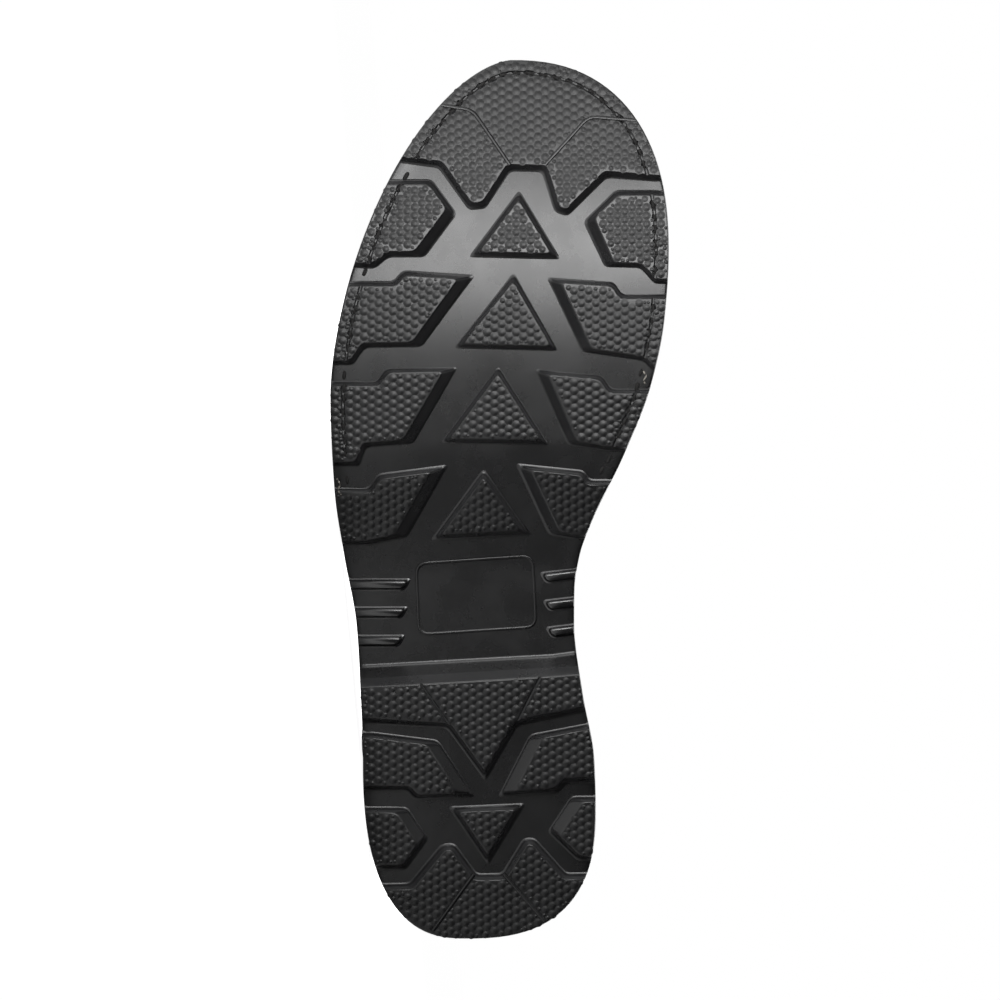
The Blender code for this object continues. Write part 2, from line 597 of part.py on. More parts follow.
def upper(last, parts, cutters, eyelet_frames):
    """The hollow upper: an outer sheet with raised layers, an inner sheet, and their rim, pierced for the eyelets."""
    rounds = [-share for share in reversed(UPPER_AROUND[1:])] + UPPER_AROUND
    bm = bmesh.new()
    sheets = []
    for is_outer in (True, False):
        sheet = []
        for u in rounds:
            column = []
            for v in UPPER_LEVELS:
                shift = relief(u, v) if is_outer else -WALL
                column.append(bm.verts.new((last.point(u, v) + last.normal(u, v) * shift) * MM))
            sheet.append(column)
        sheets.append(sheet)
    outer, inner = sheets
    for sheet in sheets:
        for left, right in zip(sheet, sheet[1:]):
            for level in range(len(UPPER_LEVELS) - 1):
                bm.faces.new((left[level], right[level], right[level + 1], left[level + 1]))
    seam_top = [index for index, u in enumerate(rounds) if abs(u) <= SEAM_AROUND]
    weld = {}
    for sheet in sheets:
        for left, right in zip(sheet[0], sheet[-1]):
            weld[left] = right
        for index in seam_top:
            mirror = len(rounds) - 1 - index
            if index < mirror:
                weld[sheet[index][-1]] = sheet[mirror][-1]
    bmesh.ops.weld_verts(bm, targetmap=weld)
    facing = {vertex: other for a, b in zip(outer, inner) for vertex, other in zip(a, b)
              if vertex.is_valid and other.is_valid}
    for edge in [edge for edge in bm.edges if edge.is_boundary]:
        a, b = edge.verts
        if a in facing and b in facing:
            bm.faces.new((a, b, facing[b], facing[a]))
    shell = finished("upper", bm, LEATHER, parts)
    drill = bmesh.new()
    for frame in eyelet_frames:
        bmesh.ops.create_cone(drill, cap_ends=True, segments=EYELET_SIDES, radius1=EYELET_HOLE * MM,
                              radius2=EYELET_HOLE * MM, depth=12.0 * MM, matrix=frame)
    boolean(shell, "DIFFERENCE", as_cutter(finished("eyelet_holes", drill, LEATHER, cutters)))
    return shell


# Welt, insole, tongue, eyelets and laces


def welt(last, parts):
    """The welt: a flat strip whose inner wall leans out with the upper, and clears its quarters."""
    stations = sole_stations()
    loop = edge_loop(stations)
    behind = sum(station < WELT_BACK for station in stations)
    count = len(stations)
    normals = outward(loop)
    order = list(range(count + behind, 2 * count)) + list(range(count - behind))
    bm = bmesh.new()
    sections = []
    for index in order:
        (along, across, _), normal = loop[index], normals[index]
        seam = last.foot(LATERAL if index >= count else MEDIAL, SEAM_AROUND)[0].x
        inner = through(FEATHER_MARGIN, along) - WELT_CLEARANCE - QUARTER_STEP * (along < seam + WELT_SEAM_MARGIN)
        low = sole_top(along) + GAP
        high = low + WELT_THICKNESS
        profile = [(inner, low), (WELT_EDGE_INSET, low), (WELT_EDGE_INSET, high - WELT_BEVEL),
                   (WELT_EDGE_INSET + WELT_BEVEL, high), (inner - WELT_LEAN, high)]
        sections.append([bm.verts.new(to_metres(along - normal.x * inset, across - normal.y * inset, height))
                         for inset, height in profile])
    for before, after in zip(sections, sections[1:]):
        for index in range(len(before)):
            bm.faces.new((before[index - 1], before[index], after[index], after[index - 1]))
    bm.faces.new(sections[0])
    bm.faces.new(sections[-1][::-1])
    return finished("welt", bm, WELT_LEATHER, parts)


def insole(parts):
    """The footbed, clear of the upper's inner face."""
    loop = edge_loop(sole_stations()[1:-1])
    normals = outward(edge_loop(sole_stations()))
    count = len(normals) // 2
    normals = normals[1:count - 1] + normals[count + 1:-1]
    rings = []
    for lift in (0.0, INSOLE_THICKNESS):
        points = []
        for (along, across, _), normal in zip(loop, normals):
            inset = through(FEATHER_MARGIN, along) + WALL + INSOLE_CLEARANCE
            place = Vector((along, across)) - normal * inset
            points.append(to_metres(place.x, place.y, sole_top(place.x) + GAP + lift))
        rings.append(points)
    return finished("insole", stacked(rings, paired_caps=True), FOOTBED, parts)


def throat_line(last, around):
    """Middle of the throat at a section, and the direction in which it climbs."""
    middles = [(last.point(share, 1.0) + last.point(-share, 1.0)) / 2 for share in (around - 0.01, around, around + 0.01)]
    return middles[1], (middles[2] - middles[0]).normalized()


def beside_throat(last, around, side, distances):
    """Places and normals on the last, square to the throat, at distances from its edge."""
    climb = throat_line(last, around)[1]
    start = last.point(side * around, 1.0)
    trail = [(0.0, start, last.normal(side * around, 1.0))]
    share = around
    while trail[-1][0] < distances[0]:
        share += 0.004
        low, high = 0.3, 1.0
        for _ in range(18):
            middle = (low + high) / 2
            if (last.point(side * share, middle) - start).dot(climb) > 0:
                high = middle
            else:
                low = middle
        place = last.point(side * share, high)
        trail.append((trail[-1][0] + (place - trail[-1][1]).length, place, last.normal(side * share, high)))
    found = []
    for distance in distances:
        index = next(index for index, step in enumerate(trail) if step[0] >= distance)
        (near, place, normal), (far, next_place, next_normal) = trail[index - 1], trail[index]
        t = (distance - near) / (far - near)
        found.append((place.lerp(next_place, t), normal.lerp(next_normal, t).normalized()))
    return found


def tongue_section(last, row):
    """Front and back places across the tongue at one row."""
    distances = [row.reach * share for share in TONGUE_SHARES]
    sides = {side: beside_throat(last, row.around, side, distances) for side in (MEDIAL, LATERAL)}
    (before, left), (ahead, right) = [(sides[side][1][0], sides[side][2][0]) for side in (LATERAL, MEDIAL)]
    chord = (right - left).length
    leaving, arriving = (left - before).normalized() * chord, (right - ahead).normalized() * -chord
    middle = []
    for t in TONGUE_BRIDGE:
        place = (left * (1 + 2 * t) * (1 - t) ** 2 + right * t * t * (3 - 2 * t)
                 + leaving * t * (1 - t) ** 2 - arriving * t * t * (1 - t))
        middle.append((place, sides[LATERAL][2][1].lerp(sides[MEDIAL][2][1], t).normalized()))
    places = sides[LATERAL] + middle + sides[MEDIAL][::-1]
    depth = WALL + row.clearance
    front = [place - normal * depth for place, normal in places]
    back = [place - normal * (depth + TONGUE_THICKNESS) for place, normal in places]
    return front, back


def tongue(last, parts):
    """The tongue, with its end carried above the collar."""
    rows = [tongue_section(last, row) for row in TONGUE_ROWS]
    climb = throat_line(last, TONGUE_ROWS[-1].around)[1]
    rise = climb * TONGUE_ABOVE_COLLAR + Vector((TONGUE_LEAN, 0.0, 0.0))
    rows.append(tuple([place + rise for place in face] for face in rows[-1]))
    bm = bmesh.new()
    sections = [[bm.verts.new(place * MM) for place in front + back[::-1]] for front, back in rows]
    for before, after in zip(sections, sections[1:]):
        for index in range(len(before)):
            bm.faces.new((before[index - 1], before[index], after[index], after[index - 1]))
    for section in (sections[0], sections[-1]):
        half = len(section) // 2
        for left, right in zip(range(half - 1), range(len(section) - 1, half, -1)):
            bm.faces.new([section[i] for i in (left, left + 1, right - 1, right)])
    return finished("tongue", bm, LEATHER, parts)


def edge_share(last, u):
    """Level at which the eyelets' row crosses a section, a fixed distance below the throat's edge."""
    v = 1.0
    length = 0.0
    while length < EYELET_EDGE_DISTANCE:
        length += (last.point(u, v) - last.point(u, v - 0.005)).length
        v -= 0.005
    return v


def eyelet_frame(last, u):
    """Matrix in metres at an eyelet, its z axis outwards."""
    v = edge_share(last, u)
    out = last.normal(u, v)
    place = last.point(u, v) + out * QUARTER_STEP
    return Matrix.Translation(place * MM) @ out.to_track_quat("Z", "Y").to_matrix().to_4x4()


def eyelet(name, frame, parts):
    """A turned ring whose barrel passes through the upper."""
    bm = bmesh.new()
    profile = [bm.verts.new((point.radius * MM, 0.0, point.height * MM)) for point in EYELET_PROFILE]
    edges = [bm.edges.new((profile[index - 1], vertex)) for index, vertex in enumerate(profile)]
    bmesh.ops.spin(bm, geom=profile + edges, axis=(0, 0, 1), cent=(0, 0, 0), angle=math.tau, steps=EYELET_SIDES,
                   use_merge=True)
    bmesh.ops.transform(bm, matrix=frame, verts=bm.verts)
    return finished(name, bm, STEEL, parts)


def lace_path(last, frames, start_side):
    """Places in millimetres of one end of the lace, from its lowest eyelet to its top one."""
    places = []
    side = start_side
    for index, around in enumerate(EYELET_AROUND):
        place = (frames[(index, side)] @ Vector((0.0, 0.0, LACE_LIFT * MM))) / MM
        climb = throat_line(last, around)[1] * LACE_TURN
        if index + 1 == len(EYELET_AROUND):
            places.append(place)
            break
        places += [place - climb, place + climb]
        upcoming = EYELET_AROUND[index + 1]
        near, far = around + (upcoming - around) * 0.25, around + (upcoming - around) * 0.75
        edges = []
        for share, hand in ((near, side), (far, -side)):
            edges.append(last.point(share * hand, 1.0)
                         + last.normal(share * hand, 1.0) * (QUARTER_STEP + LACE_EDGE_LIFT))
        out = (last.normal(near, 1.0) + last.normal(-near, 1.0)).normalized()
        places += [edges[0], (edges[0] + edges[1]) / 2 + out * LACE_CENTRE_LIFT, edges[1]]
        side = -side
    return places


def cord(name, places, collection):
    """A round cord through the places."""
    curve = bpy.data.curves.new(name, "CURVE")
    curve.dimensions = "3D"
    curve.bevel_depth = LACE_RADIUS * MM
    curve.bevel_resolution = 1
    curve.use_fill_caps = True
    spline = curve.splines.new("POLY")
    spline.points.add(len(places) - 1)
    for point, place in zip(spline.points, places):
        point.co = (*(place * MM), 1.0)
    holder = bpy.data.objects.new(name, curve)
    mesh = bpy.data.meshes.new_from_object(holder)
    bpy.data.objects.remove(holder)
    bpy.data.curves.remove(curve)
    bm = bmesh.new()
    bm.from_mesh(mesh)
    bpy.data.meshes.remove(mesh)
    bmesh.ops.remove_doubles(bm, verts=bm.verts, dist=1e-6)
    return finished(name, bm, CORD, collection)


def laces(last, frames, parts, cutters):
    """Both ends of the lace, crossing up the throat, and the bar that joins them at the bottom."""
    rising = lace_path(last, frames, MEDIAL)
    falling = lace_path(last, frames, LATERAL)
    around = EYELET_AROUND[0]
    bar = [falling[0]]
    for hand in (LATERAL, MEDIAL):
        bar.append(last.point(around * hand, 1.0) + last.normal(around * hand, 1.0) * (QUARTER_STEP + LACE_EDGE_LIFT))
    out = (last.normal(around, 1.0) + last.normal(-around, 1.0)).normalized()
    bar.insert(2, (bar[1] + bar[2]) / 2 + out * LACE_CENTRE_LIFT)
    whole = cord("laces", falling[::-1] + bar[1:] + rising[:1], parts)
    boolean(whole, "UNION", as_cutter(cord("lace_other_end", rising, cutters)))
    return whole


# Lying on its outer side


def lying_matrix(objects):
    """Turns the standing boot on to its largest outer resting face, centred over the origin on the floor."""
    graph = bpy.context.evaluated_depsgraph_get()
    places = [vertex.co.copy() for obj in objects for vertex in obj.evaluated_get(graph).data.vertices]
    hull = bmesh.new()
    for place in places:
        hull.verts.new(place)
    bmesh.ops.convex_hull(hull, input=hull.verts)
    outer = [face for face in hull.faces if face.normal.y < -LYING_COSINE]
    normal = max(outer, key=lambda face: face.calc_area()).normal.copy()
    hull.free()
    rise = -normal
    depth = (UP - rise * UP.dot(rise)).normalized()
    turn = Matrix((depth.cross(rise), depth, rise))
    laid = [turn @ place for place in places]
    low = Vector([min(place[axis] for place in laid) for axis in range(3)])
    high = Vector([max(place[axis] for place in laid) for axis in range(3)])
    shift = Vector((-(low.x + high.x) / 2, -(low.y + high.y) / 2, -low.z))
    return Matrix.Translation(shift) @ turn.to_4x4()


def collection(name):
    made = bpy.data.collections.new(name)
    bpy.context.scene.collection.children.link(made)
    return made


def build():
    for old in list(bpy.data.objects):
        bpy.data.objects.remove(old)
    parts, cutters = collection("work_boot"), collection("cutters")
    last = Last()
    frames = {(index, side): eyelet_frame(last, side * around)
              for index, around in enumerate(EYELET_AROUND) for side in (MEDIAL, LATERAL)}
    made = [outsole(parts, cutters), welt(last, parts), insole(parts), upper(last, parts, cutters, frames.values()),
            tongue(last, parts), laces(last, frames, parts, cutters)]
    for (index, side), frame in frames.items():
        hand = "inner" if side == MEDIAL else "outer"
        made.append(eyelet(f"eyelet_{index + 1}_{hand}", frame, parts))
    bpy.context.view_layer.update()
    lying = bpy.data.objects.new("lying", None)
    cutters.objects.link(lying)
    lying.matrix_world = lying_matrix(made)
    for obj in list(parts.objects) + list(cutters.objects):
        if obj is not lying:
            obj.parent = lying


build()
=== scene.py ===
"""Looks of a right work boot that lies on its outer side, sole towards the camera.

Sizes are millimetres in the boot's own frame: along runs from the back of the heel to the toe, across is
positive towards the inner side of the foot, and height is measured from the ground that the treads stand on.
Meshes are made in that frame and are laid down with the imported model's two mounts.
"""

from __future__ import annotations

import bisect
import json
import logging
import math
import random
from dataclasses import dataclass, field
from enum import Enum
from typing import Callable, Sequence

import bmesh
import bpy
import numpy as np
from bmesh.types import BMesh, BMVert
from bpy.types import Material, Node, NodeSocket, NodeTree, Object
from mathutils import Matrix, Vector

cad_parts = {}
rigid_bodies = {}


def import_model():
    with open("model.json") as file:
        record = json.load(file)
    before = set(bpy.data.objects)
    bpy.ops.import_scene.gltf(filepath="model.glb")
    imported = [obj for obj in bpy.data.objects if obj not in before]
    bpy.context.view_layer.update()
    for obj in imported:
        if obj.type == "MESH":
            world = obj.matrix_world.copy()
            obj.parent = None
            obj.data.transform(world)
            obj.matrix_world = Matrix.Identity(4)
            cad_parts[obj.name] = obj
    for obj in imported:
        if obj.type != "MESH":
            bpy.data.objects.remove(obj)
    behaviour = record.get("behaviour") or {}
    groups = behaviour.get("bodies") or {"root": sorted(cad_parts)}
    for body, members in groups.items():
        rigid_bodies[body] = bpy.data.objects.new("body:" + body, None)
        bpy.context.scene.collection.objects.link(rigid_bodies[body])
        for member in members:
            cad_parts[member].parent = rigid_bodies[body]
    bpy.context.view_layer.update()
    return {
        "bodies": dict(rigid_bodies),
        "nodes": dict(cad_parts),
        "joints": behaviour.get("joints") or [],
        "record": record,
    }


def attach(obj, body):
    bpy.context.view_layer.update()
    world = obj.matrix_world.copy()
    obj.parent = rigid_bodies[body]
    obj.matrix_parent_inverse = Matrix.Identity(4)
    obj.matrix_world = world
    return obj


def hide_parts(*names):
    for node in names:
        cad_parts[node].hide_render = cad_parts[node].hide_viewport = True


LOG = logging.getLogger("work_boot")
MM = 0.001
# How far the upper and the welt stand over the sole.
GAP = 0.3
Rows = Sequence[tuple[float, float]]
Trail = list[tuple[Vector, Vector]]


class Side(Enum):
    """The long sides of the foot, with the sign of their across places."""

    INNER = 1
    OUTER = -1


class Reach(Enum):
    """Which edge of the sole a tread block runs off."""

    TOE = "toe"
    HEEL = "heel"
    INNER = "inner"
    OUTER = "outer"
    FREE = "free"


# Curves and small mesh helpers


def slope_at(rows: Rows, index: int) -> float:
    """Slope of a curve at an inner row, flat where the rows turn, so that the curve never overshoots.

    Args:
        rows: Places and values.
        index: The inner row.

    Returns:
        The slope there.
    """
    (x0, y0), (x1, y1), (x2, y2) = rows[index - 1:index + 2]
    before, after = (y1 - y0) / (x1 - x0), (y2 - y1) / (x2 - x1)
    return 0.0 if before * after <= 0 else 2.0 * before * after / (before + after)


def through(rows: Rows, at: float) -> float:
    """Value on the smooth curve through rows, level beyond its first and last rows.

    Args:
        rows: Places and values, in order.
        at: The place.

    Returns:
        The value at that place.
    """
    if at <= rows[0][0]:
        return rows[0][1]
    if at >= rows[-1][0]:
        return rows[-1][1]
    index = bisect.bisect_right(rows, (at, math.inf)) - 1
    (x0, y0), (x1, y1) = rows[index], rows[index + 1]
    width = x1 - x0
    first = slope_at(rows, index) if index > 0 else 0.0
    second = slope_at(rows, index + 1) if index + 2 < len(rows) else 0.0
    t = (at - x0) / width
    blend = t * t * (3.0 - 2.0 * t)
    return y0 + (y1 - y0) * blend + width * first * t * (1.0 - t) ** 2 - width * second * t * t * (1.0 - t)


def ease(start: float, end: float, at: float) -> float:
    """Smooth share from 0 at start to 1 at end."""
    return through([(start, 0.0), (end, 1.0)], at)


def linear(code: str) -> tuple[float, float, float, float]:
    """Linear colour of an sRGB hex code.

    Args:
        code: Six hex digits after a hash.

    Returns:
        Red, green, blue and an alpha of 1.
    """
    shares = [int(code[start:start + 2], 16) / 255 for start in (1, 3, 5)]
    light = [share / 12.92 if share <= 0.04045 else ((share + 0.055) / 1.055) ** 2.4 for share in shares]
    return (*light, 1.0)


def per_metre(size: float) -> float:
    """Texture scale of a pattern whose features are size millimetres wide."""
    return 1.0 / (size * MM)


def add_node(tree: NodeTree, kind: str, inputs: dict | None = None, feeds: NodeSocket | None = None,
             **settings: object) -> Node:
    """Adds a node to a tree.

    Args:
        tree: The tree.
        kind: The node's type.
        inputs: Values, hex colours or sockets to link, by input name or index.
        feeds: A socket that takes the node's result.
        **settings: The node's own attributes.

    Returns:
        The node.
    """
    node = tree.nodes.new(kind)
    for name, value in settings.items():
        setattr(node, name, value)
    for socket, value in (inputs or {}).items():
        if isinstance(value, NodeSocket):
            tree.links.new(value, node.inputs[socket])
        else:
            node.inputs[socket].default_value = linear(value) if isinstance(value, str) else value
    if feeds is not None:
        tree.links.new(next(output for output in node.outputs if output.enabled), feeds)
    return node


def skin(bm: BMesh, rows: Sequence[Sequence[Vector]], closed: bool = False) -> list[BMVert]:
    """Adds a grid stretched over rows of places.

    Args:
        bm: The mesh that takes it.
        rows: Rows of equal count.
        closed: Whether each row is a ring.

    Returns:
        The new vertices.
    """
    count = len(rows[0])
    across = count if closed else count - 1
    grid = bmesh.ops.create_grid(bm, x_segments=across, y_segments=len(rows) - 1, size=1.0, calc_uvs=True)
    made = grid["verts"]
    seam = []
    for vertex in made:
        column = round((vertex.co.x + 1.0) / 2.0 * across)
        row = round((vertex.co.y + 1.0) / 2.0 * (len(rows) - 1))
        vertex.co = rows[row][column % count]
        if closed and column in (0, across):
            seam.append(vertex)
    if closed:
        bmesh.ops.remove_doubles(bm, verts=seam, dist=1e-6)
    return [vertex for vertex in made if vertex.is_valid]


def capped(bm: BMesh) -> BMesh:
    """Closes every open edge loop with one face, and turns all faces outwards."""
    bmesh.ops.holes_fill(bm, edges=[edge for edge in bm.edges if edge.is_boundary], sides=0)
    bmesh.ops.recalc_face_normals(bm, faces=bm.faces)
    return bm


def fresh() -> BMesh:
    """An empty mesh with a UV layer."""
    bm = bmesh.new()
    bm.loops.layers.uv.new("UVMap")
    return bm


def repeated(template: BMesh, places: Sequence[Matrix]) -> BMesh:
    """Copies of a small shape, joined.

    Args:
        template: The shape, which is freed.
        places: A matrix for each copy.

    Returns:
        One mesh with all the copies.
    """
    template.verts.index_update()
    shape = np.array([(*vertex.co, 1.0) for vertex in template.verts])
    faces = [[vertex.index for vertex in face.verts] for face in template.faces]
    template.free()
    corners = np.concatenate([shape @ np.array(place).T for place in places])[:, :3]
    copies = [[index + copy * len(shape) for index in face] for copy in range(len(places)) for face in faces]
    mesh = bpy.data.meshes.new("copies")
    mesh.from_pydata(corners.tolist(), [], copies)
    bm = bmesh.new()
    bm.from_mesh(mesh)
    bpy.data.meshes.remove(mesh)
    return bm


def joined(parts: Sequence[BMesh]) -> BMesh:
    """Several meshes as one.

    Args:
        parts: The meshes, which are freed.

    Returns:
        The mesh.
    """
    bm = fresh()
    mesh = bpy.data.meshes.new("joined")
    for part in parts:
        part.to_mesh(mesh)
        part.free()
        bm.from_mesh(mesh)
    bpy.data.meshes.remove(mesh)
    return bm


def split_faces(bm: BMesh) -> None:
    """Splits faces of more than four corners into triangles."""
    many = [face for face in bm.faces if len(face.verts) > 4]
    bmesh.ops.triangulate(bm, faces=many, ngon_method="EAR_CLIP")


def anticlockwise(corners: list[complex]) -> list[complex]:
    """Corners of a plan shape in anticlockwise order, seen from above."""
    area = sum(cross(a, b) for a, b in zip(corners, corners[1:] + corners[:1]))
    return corners if area > 0 else corners[::-1]


def stepped(corners: Sequence[complex], step: float = 2.0) -> list[complex]:
    """Places in short steps along a plan path.

    Args:
        corners: The path's corners.
        step: About how far apart the places are.

    Returns:
        The places, without the last corner.
    """
    path = []
    for start, end in zip(corners, corners[1:]):
        count = max(int(abs(end - start) / step), 1)
        path += [start + (end - start) * index / count for index in range(count)]
    return path


def stitch_shape(length: float, width: float) -> BMesh:
    """One sewn stitch along x: a short thread with drawn-in ends."""
    bm = bmesh.new()
    bmesh.ops.create_uvsphere(bm, u_segments=6, v_segments=6, radius=0.5)
    bmesh.ops.rotate(bm, verts=bm.verts, matrix=Matrix.Rotation(math.pi / 2, 3, "Y"))
    for vertex in bm.verts:
        vertex.co.x = math.copysign(abs(vertex.co.x * 2.0) ** 0.55 / 2.0, vertex.co.x)
    bmesh.ops.scale(bm, verts=bm.verts, vec=(length, width, width * 0.8))
    return bm


def travelled(places: Sequence[Vector]) -> list[float]:
    """Distances along a path to each of its places."""
    lengths = [0.0]
    for before, after in zip(places, places[1:]):
        lengths.append(lengths[-1] + (after - before).length)
    return lengths


def along_trail(trail: Trail, pitch: float, sink: float = 0.0) -> list[Matrix]:
    """Places at even steps along a trail, x along it and z along its normals.

    Args:
        trail: Places and normals.
        pitch: The step.
        sink: How far each place lies under the trail.

    Returns:
        A matrix for each step.
    """
    lengths = travelled([place for place, _ in trail])
    count = max(int(lengths[-1] / pitch), 1)
    found = []
    for step in range(count):
        at = (step + 0.5) * lengths[-1] / count
        index = min(bisect.bisect_right(lengths, at) - 1, len(trail) - 2)
        (place, normal), (ahead, next_normal) = trail[index], trail[index + 1]
        t = (at - lengths[index]) / max(lengths[index + 1] - lengths[index], 1e-9)
        up = normal.lerp(next_normal, t).normalized()
        run = ahead - place
        run = (run - up * run.dot(up)).normalized()
        turn = Matrix((run, up.cross(run), up)).transposed().to_4x4()
        found.append(Matrix.Translation(place.lerp(ahead, t) - up * sink) @ turn)
    return found


def tube(path: Sequence[Vector], radius: float, sides: int, taper: float = 0.0) -> BMesh:
    """A round tube along a path, with closed ends, and UVs in turns round it and in millimetres along it.

    Args:
        path: The places on its centre line.
        radius: Half its width.
        sides: How many sides it has.
        taper: Over what length its ends thin out.

    Returns:
        The mesh.
    """
    lengths = travelled(path)
    rings = []
    run = (path[1] - path[0]).normalized()
    sidewise = run.orthogonal().normalized()
    for index, place in enumerate(path):
        before, after = path[max(index - 1, 0)], path[min(index + 1, len(path) - 1)]
        run = (after - before).normalized()
        sidewise = (sidewise - run * sidewise.dot(run)).normalized()
        other = run.cross(sidewise)
        from_end = min(lengths[index], lengths[-1] - lengths[index])
        wide = radius * ease(-0.4 * taper, taper, from_end) if taper else radius
        turns = [math.tau * step / sides for step in range(sides)]
        rings.append([place + (sidewise * math.cos(turn) + other * math.sin(turn)) * wide for turn in turns])
    bm = fresh()
    skin(bm, rings, closed=True)
    layer = bm.loops.layers.uv.active
    for face in bm.faces:
        for loop in face.loops:
            loop[layer].uv.y *= lengths[-1]
    return capped(bm)


def smooth_path(points: Sequence[Vector], steps: int) -> list[Vector]:
    """A smooth curve through points.

    Args:
        points: The points.
        steps: Places made between each two points.

    Returns:
        The places along the curve.
    """
    ends = [points[0] * 2 - points[1], *points, points[-1] * 2 - points[-2]]
    path = []
    for p0, p1, p2, p3 in zip(ends, ends[1:], ends[2:], ends[3:]):
        for step in range(steps):
            t = step / steps
            path.append(0.5 * (p1 * 2 + (p2 - p0) * t + (p0 * 2 - p1 * 5 + p2 * 4 - p3) * t * t
                               + (p1 * 3 - p0 - p2 * 3 + p3) * t ** 3))
    return path + [points[-1]]


# Finishes


@dataclass(frozen=True)
class Finish:
    """A surface finish: its colour and roughness, and the nodes that vary them."""

    name: str
    colour: str
    roughness: float

    def material(self) -> Material:
        """The finish as a material, made once.

        Returns:
            The material.
        """
        made = bpy.data.materials.get(self.name)
        if made is None:
            made = bpy.data.materials.new(self.name)
            made.use_nodes = True
            tree = made.node_tree
            shader = tree.nodes["Principled BSDF"]
            shader.inputs["Base Color"].default_value = linear(self.colour)
            shader.inputs["Roughness"].default_value = self.roughness
            place = add_node(tree, "ShaderNodeTexCoord").outputs["Object"]
            self.dress(tree, shader, place)
        return made

    def dress(self, tree: NodeTree, shader: Node, place: NodeSocket) -> None:
        """Adds the finish's own nodes; a plain finish adds none."""


@dataclass(frozen=True)
class MouldedRubber(Finish):
    """Black rubber from a satin steel mould: a broad soft shine, a faint grey bloom and a fine grit."""

    bloom: str = "#171718"
    bloom_size: float = 16.0
    grit_size: float = 0.45
    grit_depth: float = 0.018
    shine_spread: float = 0.03
    mirror_level: float = 0.5

    def dress(self, tree: NodeTree, shader: Node, place: NodeSocket) -> None:
        """Adds bloom, uneven shine and grit."""
        shader.inputs["Specular IOR Level"].default_value = self.mirror_level
        cloud = add_node(tree, "ShaderNodeTexNoise", {
            "Vector": place, "Scale": per_metre(self.bloom_size), "Detail": 5.0, "Roughness": 0.62})
        amount = add_node(tree, "ShaderNodeMapRange", {
            "Value": cloud.outputs["Fac"], "From Min": 0.42, "From Max": 0.78, "To Max": 0.5})
        add_node(tree, "ShaderNodeMix", {0: amount.outputs[0], 6: self.colour, 7: self.bloom},
                 feeds=shader.inputs["Base Color"], data_type="RGBA")
        add_node(tree, "ShaderNodeMapRange", {
            "Value": cloud.outputs["Fac"], "From Min": 0.3, "From Max": 0.7,
            "To Min": self.roughness - self.shine_spread, "To Max": self.roughness + self.shine_spread},
            feeds=shader.inputs["Roughness"])
        grit = add_node(tree, "ShaderNodeTexNoise", {
            "Vector": place, "Scale": per_metre(self.grit_size), "Detail": 3.0})
        add_node(tree, "ShaderNodeBump", {
            "Height": grit.outputs["Fac"], "Strength": 0.35, "Distance": self.grit_depth * MM},
            feeds=shader.inputs["Normal"])


@dataclass(frozen=True)
class SheenPaintedRubber(MouldedRubber):
    """Moulded rubber whose steep walls, turned from the sole's own direction, are painted a paler grey than
    its faces: a painted sheen.
    """

    # Paler grey of the steep walls: painted sheen.
    dust: str = "#2b2b2c"
    face_slope: float = -0.85
    wall_slope: float = -0.45

    def dress(self, tree: NodeTree, shader: Node, place: NodeSocket) -> None:
        """Adds the painted sheen over the plain rubber, by how far a face turns from the sole's own
        direction.
        """
        super().dress(tree, shader, place)
        # The plain rubber with its bloom, which the faces keep under the painted sheen.
        worn = shader.inputs["Base Color"].links[0].from_socket
        turned = add_node(tree, "ShaderNodeTexCoord")
        parts = add_node(tree, "ShaderNodeSeparateXYZ", {0: turned.outputs["Normal"]})
        amount = add_node(tree, "ShaderNodeMapRange", {
            "Value": parts.outputs["Y"], "From Min": self.face_slope, "From Max": self.wall_slope})
        add_node(tree, "ShaderNodeMix", {0: amount.outputs[0], 6: worn, 7: self.dust},
                 feeds=shader.inputs["Base Color"], data_type="RGBA")


